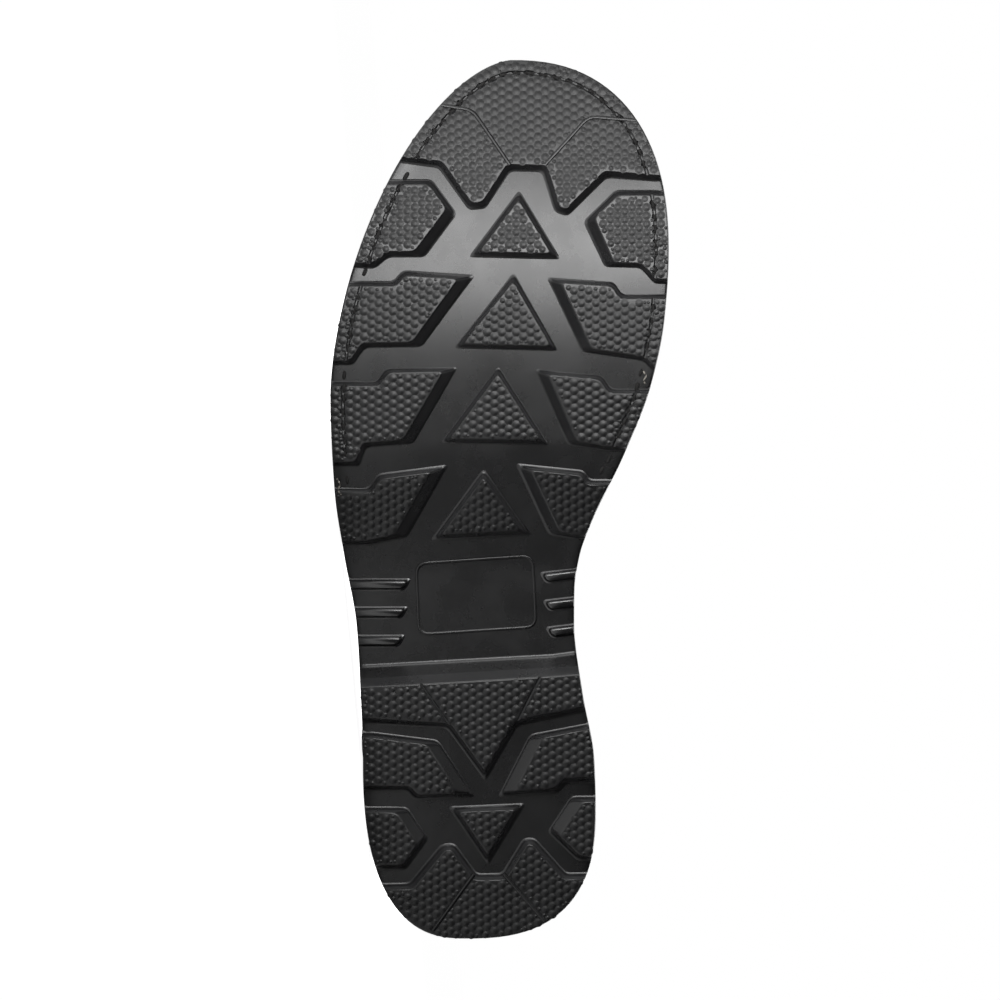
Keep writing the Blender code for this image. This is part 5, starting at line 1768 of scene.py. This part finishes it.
@dataclass
class Upper:
    """The leather upper with its raised layers, creases, seams, binding and lining."""

    last: Last
    backstay_step: float = 1.2
    cuff_pad: float = 2.0
    cuff_start: float = 0.82
    cuff_fade: tuple[float, float] = (0.70, 0.78)
    step_width: float = 0.0016
    leather: float = 1.5
    lining_depth: float = 1.7
    lining: float = 0.6
    rim_split: float = 60.0
    hole: float = 2.9
    crease_reach: float = 4.5
    lip_height: float = 0.42
    lip_place: float = 2.0
    lip_width: float = 0.9
    binding: float = 1.7
    binding_steps: int = 60
    binding_inset: float = 0.75
    binding_drop: float = 0.5
    binding_taper: float = 9.0
    stitch_pitch: float = 3.3
    stitch: tuple[float, float] = (2.5, 0.75)
    creases: list[tuple[np.ndarray, np.ndarray, Crease]] = field(default_factory=list)

    def build(self, shop: Workshop, eyelets: Sequence[Matrix]) -> None:
        """Makes the upper's pieces.

        Args:
            shop: The workshop.
            eyelets: Frames of the eyelets, which pierce the leather.
        """
        self.creases = [self.crease_line(crease) for crease in CREASES]
        shell = self.shell(self.rounds(0.008), self.levels(64), self.relief_at, self.leather)
        drill = bmesh.new()
        for eyelet in eyelets:
            bmesh.ops.create_cone(drill, cap_ends=True, segments=20, radius1=self.hole, radius2=self.hole,
                                  depth=12.0, matrix=eyelet)
        leather = shop.cut([shell], [drill])
        shop.finish("upper_leather", leather, UPPER_LEATHER, ("upper",), sharp=32.0)
        inside = self.shell(self.rounds(0.016), self.levels(36), lambda u, v: -self.lining_depth, self.lining)
        shop.finish("upper_lining", inside, LINING_CLOTH, sharp=50.0)
        shop.finish("collar_binding", self.collar(), UPPER_LEATHER, sharp=60.0)
        seams = [place for trail in self.seams() for place in along_trail(trail, self.stitch_pitch, -0.06)]
        stitches = repeated(stitch_shape(*self.stitch), seams)
        shop.finish("upper_stitches", stitches, UPPER_THREAD, sharp=80.0)

    def rounds(self, step: float) -> list[float]:
        """Places round the foot from heel to heel, closer at the steps in the leather."""
        half = [index * step for index in range(int(1.0 / step) + 1)]
        for edge in (SEAM_AROUND, BACKSTAY_AROUND):
            half = [around for around in half if abs(around - edge) > 0.006]
            half += [edge + offset for offset in (-0.005, -0.002, -0.0008, 0.0, 0.0008, 0.002, 0.005)]
        shares = (0.0, 0.012, 0.03, 0.06, 0.1, 0.16, 0.24, 0.34, 0.46)
        foot = [THROAT_START + THROAT_FOOT * share for share in shares]
        half = [around for around in half if abs(around - foot[4]) > 0.0042] + foot
        half = sorted({*half, 0.0, 1.0})
        return [-around for around in reversed(half[1:])] + half

    @staticmethod
    def levels(count: int) -> list[float]:
        """Levels from the sole to the top edge, closer at the top."""
        return [(index / count) * (1.2 - 0.2 * index / count) for index in range(count + 1)]

    def crease_line(self, crease: Crease) -> tuple[np.ndarray, np.ndarray, Crease]:
        """A crease's places on the last, and how strong it is at each."""
        places = []
        for (u0, v0), (u1, v1) in zip(crease.run, crease.run[1:]):
            if u0 * u1 < 0:
                continue
            for step in range(8):
                t = step / 8
                places.append(self.last.point(u0 + (u1 - u0) * t, v0 + (v1 - v0) * t))
        places.append(self.last.point(*crease.run[-1]))
        shares = np.linspace(0.0, 1.0, len(places))
        strength = np.clip(np.minimum(shares, 1.0 - shares) * 5.0, 0.0, 1.0)
        return np.array(places), strength * strength * (3.0 - 2.0 * strength), crease

    def creased(self, place: Vector) -> float:
        """How far the creases press in, or lift, the leather at a place."""
        moved = 0.0
        for places, strength, crease in self.creases:
            distances = np.linalg.norm(places - np.array(place), axis=1)
            nearest = int(distances.argmin())
            d = distances[nearest] / crease.width
            if d < self.crease_reach:
                lip = self.lip_height * math.exp(-((d - self.lip_place) / self.lip_width) ** 2)
                moved += crease.depth * strength[nearest] * (lip - math.exp(-d * d))
        return moved

    def raised(self, u: float, v: float) -> float:
        """Height of the raised layers over the last: quarters, backstay and padded cuff."""
        around = abs(u)
        half = self.step_width / 2
        raised = QUARTER_STEP * ease(SEAM_AROUND - half, SEAM_AROUND + half, around)
        raised += self.backstay_step * ease(BACKSTAY_AROUND - half, BACKSTAY_AROUND + half, around)
        pad = math.sin(math.pi * min(max((v - self.cuff_start) / (1.0 - self.cuff_start), 0.0), 1.0))
        return raised + self.cuff_pad * pad * ease(*self.cuff_fade, around)

    def relief_at(self, u: float, v: float) -> float:
        """Height of the leather's face over the last."""
        return self.raised(u, v) + self.creased(self.last.point(u, v))

    def face(self, u: float, v: float) -> tuple[Vector, Vector]:
        """Place and normal on the leather's face."""
        normal = self.last.normal(u, v)
        return self.last.point(u, v) + normal * self.relief_at(u, v), normal

    def shell(self, rounds: Sequence[float], levels: Sequence[float], height: Callable[[float, float], float],
              thickness: float) -> BMesh:
        """A closed skin over the last, sewn up at the heel and along the vamp's middle.

        Args:
            rounds: Places round the foot.
            levels: Levels from sole to top.
            height: Height of its outer face over the last.
            thickness: How far under that its inner face lies.

        Returns:
            The mesh, with its faces outwards.
        """
        bm = fresh()
        outer, inner = [], []
        for v in levels:
            rows = [(self.last.point(u, v), self.last.normal(u, v), height(u, v)) for u in rounds]
            outer.append([place + normal * raised for place, normal, raised in rows])
            inner.append([place + normal * (raised - thickness) for place, normal, raised in rows])
        count = len(rounds)
        for rows in (outer, inner):
            made = skin(bm, rows)
            grid = [made[start:start + count] for start in range(0, len(made), count)]
            twins = {line[-1]: line[0] for line in grid}
            for column, u in enumerate(rounds):
                if 0.0 < u <= THROAT_START:
                    twins[grid[-1][column]] = grid[-1][count - 1 - column]
            for gone, kept in twins.items():
                kept.co = (kept.co + gone.co) / 2
            bmesh.ops.weld_verts(bm, targetmap=twins)
        rims = [edge for edge in bm.edges if edge.is_boundary]
        for is_low in (True, False):
            rim = [edge for edge in rims if (edge.verts[0].co.z < self.rim_split) == is_low]
            bmesh.ops.bridge_loops(bm, edges=rim)
        bmesh.ops.recalc_face_normals(bm, faces=bm.faces)
        return bm

    def collar(self) -> BMesh:
        """The rolled binding round the collar, from one throat corner to the other."""
        steps = self.binding_steps
        half = [THROAT_TOP + (1.0 - THROAT_TOP) * index / steps for index in range(steps + 1)]
        path = []
        for u in half + [-around for around in reversed(half[:-1])]:
            place, normal = self.face(u, 1.0)
            path.append(place - normal * (self.leather * self.binding_inset)
                        - Vector((0.0, 0.0, self.binding_drop)))
        return tube(path, self.binding, 14, self.binding_taper)

    def shifted(self, u: float, v: float, distance: float) -> float:
        """The u at a distance round the foot from another, away from the toe."""
        step = 0.002 * math.copysign(1.0, u)
        width = (self.last.point(u + step, v) - self.last.point(u, v)).length
        return u + step * distance / width

    def seams(self) -> list[Trail]:
        """Trails of every sewn row: vamp seam, backstay, cuff and throat, on both sides."""
        trails = []
        for hand in (1.0, -1.0):
            for distance in (2.4, 5.2):
                trails.append([self.face(self.shifted(hand * SEAM_AROUND, v, distance), v)
                               for v in np.linspace(0.06, 0.93, 50)])
            trails.append([self.face(self.shifted(hand * BACKSTAY_AROUND, v, 2.6), v)
                           for v in np.linspace(0.04, 0.97, 50)])
            for level in (self.cuff_start - 0.006, self.cuff_start - 0.026):
                trails.append([self.face(hand * around, level)
                               for around in np.linspace(0.735, BACKSTAY_AROUND - 0.006, 60)])
            for distance, start in ((3.2, 0.535), (15.0, 0.548)):
                trails.append([self.face(hand * around, self.last.below_top(hand * around, distance))
                               for around in np.linspace(start, 0.735, 60)])
        return trails


@dataclass
class Welt:
    """The stitched strip on the sole's margin from waist to waist round the toe."""

    plan: SolePlan
    last: Last
    back: float = 103.0
    thickness: float = 4.2
    edge_inset: float = 0.8
    lean: float = 1.5
    clearance: float = 0.95
    seam_margin: float = 10.0
    pitch: float = 4.6
    stitch: tuple[float, float] = (3.7, 1.15)
    groove_share: float = 0.58
    groove_half: float = 0.75
    groove_limit: float = 0.2
    least_margin: float = 2.6

    def build(self, shop: Workshop) -> None:
        """Makes the welt and its stitches.

        Args:
            shop: The workshop.
        """
        loop = self.plan.edge_loop()
        half = len(loop) // 2
        seams = {side: self.last.foot(side, SEAM_AROUND)[0].real for side in Side}
        ordered = [(point, Side.OUTER) for point in loop[half:] if point.station >= self.back]
        ordered += [(point, Side.INNER) for point in loop[:half] if point.station >= self.back]
        rows, sewn = [], []
        for point, side in ordered:
            in_quarter = point.along < seams[side] + self.seam_margin
            inner = through(FEATHER_MARGIN, point.along) - self.clearance - QUARTER_STEP * in_quarter
            low = self.plan.top(point.along) + GAP
            edge, top, end = self.edge_inset, self.thickness, inner - self.lean
            mid = edge + (end - edge) * self.groove_share
            wide = min(self.groove_half, (end - edge) * self.groove_limit)
            profile = [(inner, 0.0), (edge + 0.7, 0.0), (edge + 0.15, 0.2), (edge, 0.75), (edge, top - 1.3),
                       (edge + 0.15, top - 0.6), (edge + 0.5, top - 0.15), (edge + 0.95, top),
                       (mid - wide, top), (mid - wide * 0.5, top - 0.35), (mid, top - 0.5),
                       (mid + wide * 0.5, top - 0.35), (mid + wide, top), (end, top)]
            rows.append([Outsole.at(point.inset(inset), low + height) for inset, height in profile])
            if end - edge > self.least_margin:
                sewn.append((Outsole.at(point.inset(mid), low + top - 0.12), Vector((0.0, 0.0, 1.0))))
        bm = fresh()
        skin(bm, rows, closed=True)
        shop.finish("welt_strip", capped(bm), WELT_LEATHER, ("welt",))
        stitches = repeated(stitch_shape(*self.stitch), along_trail(sewn, self.pitch))
        shop.finish("welt_stitches", stitches, UPPER_THREAD, sharp=80.0)


# Fittings


@dataclass
class Fittings:
    """Eyelets along the throat, and the lace that runs through them."""

    last: Last
    arounds: tuple[float, ...] = (0.571, 0.598, 0.625, 0.652, 0.680, 0.707)
    edge_distance: float = 8.5
    lace_radius: float = 1.75
    lace_sides: int = 12
    over_edge: float = 3.4
    under_edge: float = -4.4
    over_last: float = 3.6
    over_bar: float = 3.9
    over_bar_middle: float = 3.2
    steps: int = 24

    def frames(self) -> dict[tuple[int, Side], Matrix]:
        """Frames of the eyelets, z outwards.

        Returns:
            A matrix for each index and side.
        """
        made = {}
        for index, around in enumerate(self.arounds):
            for side in Side:
                u = around * side.value
                v = self.last.below_top(u, self.edge_distance)
                out = self.last.normal(u, v)
                place = self.last.point(u, v) + out * QUARTER_STEP
                turn = out.to_track_quat("Z", "Y").to_matrix().to_4x4()
                made[(index, side)] = Matrix.Translation(place) @ turn
        return made

    def build(self, shop: Workshop) -> None:
        """Makes the eyelets and the lace.

        Args:
            shop: The workshop.
        """
        frames = self.frames()
        for (index, side), frame in frames.items():
            node = f"eyelet_{index + 1}_{'inner' if side is Side.INNER else 'outer'}"
            shop.finish(f"ring_{node}", self.eyelet(frame), EYELET_STEEL, (node,), sharp=60.0)
        for side in Side:
            path = smooth_path(self.lace_route(frames, side), 8)
            lace = tube(path, self.lace_radius, self.lace_sides)
            name = f"lace_{side.name.lower()}_end"
            shop.finish(name, lace, LACE_CORD, ("laces",), sharp=80.0)
        bar = smooth_path(self.bar_route(frames), 10)
        shop.finish("lace_bar", tube(bar, self.lace_radius, self.lace_sides), LACE_CORD,
                    sharp=80.0)

    def eyelet(self, frame: Matrix) -> BMesh:
        """A pressed ring with a rolled flange and a barrel through the leather.

        Args:
            frame: Its frame.

        Returns:
            The mesh.
        """
        profile = [(2.1, -3.2), (2.05, 0.4), (2.2, 1.1), (2.6, 1.55), (3.1, 1.68), (3.7, 1.5), (4.2, 1.05),
                   (4.4, 0.55), (4.35, 0.1), (4.0, -0.1), (2.8, -0.1), (2.75, -3.2)]
        bm = bmesh.new()
        corners = [bm.verts.new((radius, 0.0, height)) for radius, height in profile]
        edges = [bm.edges.new((corners[index - 1], corner)) for index, corner in enumerate(corners)]
        bmesh.ops.spin(bm, geom=[*corners, *edges], axis=(0, 0, 1), cent=(0, 0, 0), angle=math.tau,
                       steps=self.steps, use_merge=True)
        bmesh.ops.remove_doubles(bm, verts=bm.verts, dist=1e-5)
        bmesh.ops.recalc_face_normals(bm, faces=bm.faces)
        bmesh.ops.transform(bm, matrix=frame, verts=bm.verts)
        return bm

    def over_throat(self, around: float, lift: float) -> Vector:
        """Place over the middle of the throat."""
        out = (self.last.normal(around, 1.0) + self.last.normal(-around, 1.0)).normalized()
        return self.last.throat_line(around)[0] + out * lift

    def beside(self, around: float, side: Side, lift: float) -> Vector:
        """Place at the throat's edge, over or under the leather."""
        u = around * side.value
        return self.last.point(u, 1.0) + self.last.normal(u, 1.0) * lift

    def lace_route(self, frames: dict[tuple[int, Side], Matrix], start: Side) -> list[Vector]:
        """Route of one lace end: up through each eyelet, over the edge, across, and under the other edge.

        Args:
            frames: The eyelets' frames.
            start: The side of its lowest eyelet.

        Returns:
            The route's places.
        """
        side = start
        lift = 1.2 if start is Side.INNER else -1.2
        last_index = len(self.arounds) - 1
        route = [frames[(0, side)] @ Vector((0.0, 0.0, -4.6))]
        for index in range(last_index):
            gap = self.arounds[index + 1] - self.arounds[index]
            near, far = self.arounds[index] + gap * 0.3, self.arounds[index] + gap * 0.7
            over = index > 0
            final = index + 1 == last_index
            other = Side(-side.value)
            route.append(self.beside(near, side, self.over_edge if over else self.under_edge))
            middle = (self.arounds[index] + self.arounds[index + 1]) / 2
            route.append(self.over_throat(middle, 1.6 + lift if over else -0.4 + lift))
            route.append(self.beside(far, other, self.over_last if final else self.under_edge))
            frame = frames[(index + 1, other)]
            lifts = (4.0, 2.6, -1.0, -4.0) if final else (-4.6, -1.0, 2.4, 4.0)
            route += [frame @ Vector((0.0, 0.0, height)) for height in lifts]
            side = other
        return route

    def bar_route(self, frames: dict[tuple[int, Side], Matrix]) -> list[Vector]:
        """Route of the straight bar between the two lowest eyelets."""
        around = self.arounds[0]
        ends = {side: [frames[(0, side)] @ Vector((0.0, 0.0, height)) for height in (-4.0, -1.0, 2.6, 3.8)]
                for side in Side}
        return [*ends[Side.OUTER], self.beside(around, Side.OUTER, self.over_bar),
                self.over_throat(around, self.over_bar_middle),
                self.beside(around, Side.INNER, self.over_bar), *reversed(ends[Side.INNER])]


@dataclass(frozen=True)
class TongueRow:
    """A row across the tongue: its section, its reach past the throat's edges and how deep it lies."""

    around: float
    reach: float
    clearance: float


TONGUE_ROWS = (
    TongueRow(0.46, 17.0, 0.0),
    TongueRow(0.50, 18.0, 1.4),
    TongueRow(0.54, 15.0, 2.2),
    TongueRow(0.59, 14.0, 2.2),
    TongueRow(0.64, 14.0, 2.2),
    TongueRow(0.69, 13.0, 2.2),
    TongueRow(0.732, 12.0, 2.2),
)
TONGUE_EDGE = ((1.0, 0.2), (0.985, 0.5), (0.95, 0.76), (0.88, 0.94), (0.78, 1.0), (0.66, 1.0),
               (0.52, 1.0), (0.38, 1.0), (0.25, 1.0))


@dataclass
class SoftParts:
    """The padded tongue behind the throat, and the felt footbed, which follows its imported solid."""

    last: Last
    wall: float = 2.4
    thickness: float = 3.6
    body_rows: int = 26
    end_rows: int = 12
    bridge_steps: int = 9
    above_collar: float = 15.0
    end_lean: float = 5.0
    stitch_pitch: float = 3.3
    stitch: tuple[float, float] = (2.5, 0.7)
    footbed_turn: float = 60.0
    footbed_bevel: float = 0.9

    def build(self, shop: Workshop, nodes: dict[str, Object]) -> None:
        """Makes the tongue and the footbed.

        Args:
            shop: The workshop.
            nodes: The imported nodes.
        """
        grid = self.tongue_grid()
        body = self.tongue(grid)
        tongue = shop.finish("padded_tongue", body, UPPER_LEATHER, ("tongue",), sharp=70.0)
        trails = self.border_trails(grid)
        places = [place for trail in trails for place in along_trail(trail, self.stitch_pitch, -0.05)]
        stitches = repeated(stitch_shape(*self.stitch), places)
        shop.finish("tongue_stitches", stitches, UPPER_THREAD, sharp=80.0)
        footbed = shop.copied(nodes["insole"])
        turn = math.radians(self.footbed_turn)
        rim = [edge for edge in footbed.edges if edge.is_manifold and edge.calc_face_angle() > turn]
        bmesh.ops.bevel(footbed, geom=rim, offset=self.footbed_bevel * MM, affect="EDGES", segments=3,
                        profile=0.5, material=-1)
        shop.finish("felt_footbed", footbed, FOOTBED_FELT, ("insole",), sharp=50.0, in_place=True)

    def beside(self, around: float, side: Side, distances: Sequence[float]) -> Trail:
        """Places and normals on the last, square to the throat, at distances from its edge.

        Args:
            around: The section.
            side: The throat's side.
            distances: Distances from its edge, farthest first.

        Returns:
            A place and a normal for each distance.
        """
        climb = self.last.throat_line(around)[1]
        start = self.last.point(side.value * around, 1.0)
        steps = [(0.0, start, self.last.normal(side.value * around, 1.0))]
        share = around
        while steps[-1][0] < distances[0]:
            share += 0.004
            low, high = 0.3, 1.0
            for _ in range(16):
                middle = (low + high) / 2
                if (self.last.point(side.value * share, middle) - start).dot(climb) > 0:
                    high = middle
                else:
                    low = middle
            place = self.last.point(side.value * share, high)
            steps.append((steps[-1][0] + (place - steps[-1][1]).length, place,
                          self.last.normal(side.value * share, high)))
        found = []
        for distance in distances:
            index = next(index for index, step in enumerate(steps) if step[0] >= distance)
            (near, place, normal), (far, next_place, next_normal) = steps[index - 1], steps[index]
            t = (distance - near) / (far - near)
            found.append((place.lerp(next_place, t), normal.lerp(next_normal, t).normalized()))
        return found

    def tongue_row(self, around: float) -> Trail:
        """Places across the tongue's middle layer at a section, from the outer edge to the inner one."""
        reach = through([(row.around, row.reach) for row in TONGUE_ROWS], around)
        clearance = through([(row.around, row.clearance) for row in TONGUE_ROWS], around)
        depth = self.wall + clearance + self.thickness / 2
        distances = [reach * share for share, _ in TONGUE_EDGE]
        outer, inner = (self.beside(around, side, distances) for side in (Side.OUTER, Side.INNER))
        left, right = outer[-1][0], inner[-1][0]
        chord = (right - left).length
        leaving = (left - outer[-2][0]).normalized() * chord
        arriving = (inner[-2][0] - right).normalized() * chord
        middle = []
        for step in range(1, self.bridge_steps + 1):
            t = step / (self.bridge_steps + 1)
            place = (left * ((1 + 2 * t) * (1 - t) ** 2) + right * (t * t * (3 - 2 * t))
                     + leaving * (t * (1 - t) ** 2) - arriving * (t * t * (1 - t)))
            middle.append((place, outer[-1][1].lerp(inner[-1][1], t).normalized()))
        return [(place - normal * depth, normal) for place, normal in outer + middle + inner[::-1]]

    def tongue_grid(self) -> list[tuple[Trail, float]]:
        """Rows of places across the tongue's middle layer, up past the collar, and how thick each row is."""
        first, last = TONGUE_ROWS[0].around, TONGUE_ROWS[-1].around
        grid = [(self.tongue_row(around), 1.0) for around in np.linspace(first, last, self.body_rows)]
        top = grid[-1][0]
        rise = self.last.throat_line(last)[1] * self.above_collar + Vector((self.end_lean, 0.0, 0.0))
        run = np.linspace(-1.0, 1.0, len(top))
        for step in range(1, self.end_rows + 1):
            t = math.sin(math.pi / 2 * step / self.end_rows)
            bend = max(t - 0.3, 0.0) / 0.7
            width = 0.6 + 0.4 * math.sqrt(1.0 - bend * bend)
            places = [np.interp(run * width, run, [place[axis] for place, _ in top]) for axis in range(3)]
            row = [(Vector(place) + rise * t, normal) for place, (_, normal) in zip(zip(*places), top)]
            end = max(t - 0.88, 0.0) / 0.12
            grid.append((row, math.sqrt(max(1.0 - end * end, 0.04))))
        return grid

    def tongue(self, grid: Sequence[tuple[Trail, float]]) -> BMesh:
        """The tongue's mesh, thick in the middle and round at its edges.

        Args:
            grid: Its middle layer.

        Returns:
            The mesh.
        """
        edge = [share for _, share in TONGUE_EDGE]
        swell = edge + [1.0] * self.bridge_steps + edge[::-1]
        rings = []
        for row, share in grid:
            halves = [self.thickness / 2 * share * part for part in swell]
            front = [place + normal * half for (place, normal), half in zip(row, halves)]
            back = [place - normal * half for (place, normal), half in zip(row, halves)]
            rings.append(front + back[::-1])
        bm = fresh()
        skin(bm, rings, closed=True)
        return capped(bm)

    def border_trails(self, grid: Sequence[tuple[Trail, float]]) -> list[Trail]:
        """The sewn row inside the tongue's edge, on its front and on its back."""
        column = next(index for index, (share, _) in enumerate(TONGUE_EDGE) if share < 0.8)
        rows = [row for row, _ in grid[self.body_rows // 2:-3]]
        path = [row[column] for row in rows]
        path += rows[-1][column + 1:-column - 1]
        path += [row[-column - 1] for row in reversed(rows)]
        square = []
        for index, (place, normal) in enumerate(path):
            run = (path[min(index + 1, len(path) - 1)][0] - path[max(index - 1, 0)][0]).normalized()
            square.append((place, (normal - run * normal.dot(run)).normalized()))
        half = self.thickness / 2
        return [[(place + flat * (half * hand), flat * hand) for place, flat in square]
                for hand in (1.0, -1.0)]


# Studio


@dataclass(frozen=True)
class Softbox:
    """A white light panel by its place, aim, size and power."""

    name: str
    place: tuple[float, float, float]
    aim: tuple[float, float, float]
    size: tuple[float, float]
    power: float


SOFTBOXES = (
    Softbox("sole_key", (-0.215, -0.60, 0.07), (-0.215, 0.0, 0.07), (0.14, 0.45), 2.5),
    Softbox("toe_wide", (-0.40, -0.60, 0.22), (-0.40, 0.0, 0.22), (0.48, 0.8), 2.25),
    Softbox("toe_low", (-0.85, -0.32, 0.10), (0.0, -0.32, 0.10), (0.46, 0.40), 2.2),
    Softbox("front_top", (-0.15, -0.40, 1.0), (0.0, -0.12, 0.0), (0.8, 0.5), 0.7),
    Softbox("floor_toe", (-0.26, -0.28, 0.002), (-0.26, -0.28, 1.0), (0.28, 0.34), 0.3),
    Softbox("floor_card", (0.0, -0.15, 0.002), (0.0, -0.15, 1.0), (0.26, 0.09), 0.04),
    Softbox("overhead", (0.0, 1.0, 1.5), (0.0, 0.1, 0.0), (1.6, 1.2), 20.0),
    Softbox("collar_fill", (0.7, 1.3, 0.8), (0.05, 0.0, 0.06), (0.9, 0.9), 14.0),
)


@dataclass
class Studio:
    """Camera square to the tread with the toe up, a pale floor and soft light from the toe's side."""

    aim_along: float = 154.8
    aim_across: float = 7.09
    frame_width: float = 352.5
    distance: float = 5.0
    sensor: float = 36.0
    floor_size: float = 30.0
    floor_colour: str = "#f8f8f8"
    floor_glow: float = 1.02
    surround: float = 0.04

    def build(self, shop: Workshop) -> None:
        """Makes camera, floor, lights and surround.

        Args:
            shop: The workshop.
        """
        self.camera(shop)
        self.floor()
        self.lights()
        self.world()
        bpy.context.scene.view_settings.view_transform = "Standard"

    def camera(self, shop: Workshop) -> None:
        """Sets the camera square to the tread, with the toe at the top of the picture.

        Args:
            shop: The workshop.
        """
        lens = bpy.data.cameras.new("camera")
        lens.sensor_width = self.sensor
        lens.lens = self.sensor * self.distance / (self.frame_width * MM)
        lens.clip_end = 100.0
        camera = bpy.data.objects.new("camera", lens)
        up, back = shop.direction(1.0, 0.0, 0.0), shop.direction(0.0, 0.0, -1.0)
        turn = Matrix((up.cross(back), up, back)).transposed().to_4x4()
        spot = shop.place(self.aim_along, self.aim_across, 0.0) + back * self.distance
        camera.matrix_world = Matrix.Translation(spot) @ turn
        bpy.context.scene.collection.objects.link(camera)
        bpy.context.scene.camera = camera

    def floor(self) -> None:
        """Lays the pale floor, which glows a little so that it stays pale in the dim surround."""
        bm = bmesh.new()
        bmesh.ops.create_grid(bm, x_segments=1, y_segments=1, size=self.floor_size / 2)
        mesh = bpy.data.meshes.new("studio_floor")
        bm.to_mesh(mesh)
        bm.free()
        material = bpy.data.materials.new("painted_studio_floor")
        material.use_nodes = True
        tree = material.node_tree
        shader = tree.nodes["Principled BSDF"]
        shader.inputs["Base Color"].default_value = linear(self.floor_colour)
        shader.inputs["Roughness"].default_value = 1.0
        shader.inputs["Specular IOR Level"].default_value = 0.0
        shader.inputs["Emission Color"].default_value = linear(self.floor_colour)
        ray = add_node(tree, "ShaderNodeLightPath")
        add_node(tree, "ShaderNodeMath", {0: ray.outputs["Is Camera Ray"], 1: self.floor_glow},
                 feeds=shader.inputs["Emission Strength"], operation="MULTIPLY")
        mesh.materials.append(material)
        floor = bpy.data.objects.new("studio_floor", mesh)
        bpy.context.scene.collection.objects.link(floor)

    @staticmethod
    def lights() -> None:
        """Hangs the light panels."""
        for box in SOFTBOXES:
            light = bpy.data.lights.new(box.name, "AREA")
            light.shape = "RECTANGLE"
            light.size, light.size_y = box.size
            light.energy = box.power
            panel = bpy.data.objects.new(box.name, light)
            aim = Vector(box.aim) - Vector(box.place)
            turn = aim.to_track_quat("-Z", "Y").to_matrix().to_4x4()
            panel.matrix_world = Matrix.Translation(box.place) @ turn
            bpy.context.scene.collection.objects.link(panel)

    def world(self) -> None:
        """Fills the surround: white behind the boot, dim where the boot reflects it."""
        world = bpy.data.worlds.new("studio")
        world.use_nodes = True
        tree = world.node_tree
        background = tree.nodes["Background"]
        background.inputs["Color"].default_value = (1.0, 1.0, 1.0, 1.0)
        ray = add_node(tree, "ShaderNodeLightPath")
        add_node(tree, "ShaderNodeMapRange", {
            "Value": ray.outputs["Is Camera Ray"], "To Min": self.surround, "To Max": 1.0},
            feeds=background.inputs["Strength"])
        bpy.context.scene.world = world


def main() -> None:
    """Builds the looks in order: studio, sole, upper, fittings and soft parts."""
    logging.basicConfig(level=logging.INFO, format="%(message)s")
    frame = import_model()
    shop = Workshop(frame["record"])
    plan = SolePlan()
    last = Last(plan)
    fittings = Fittings(last)
    Studio().build(shop)
    Outsole(plan).build(shop)
    Upper(last).build(shop, list(fittings.frames().values()))
    Welt(plan, last).build(shop)
    fittings.build(shop)
    SoftParts(last).build(shop, frame["nodes"])


if __name__ == "__main__":
    main()
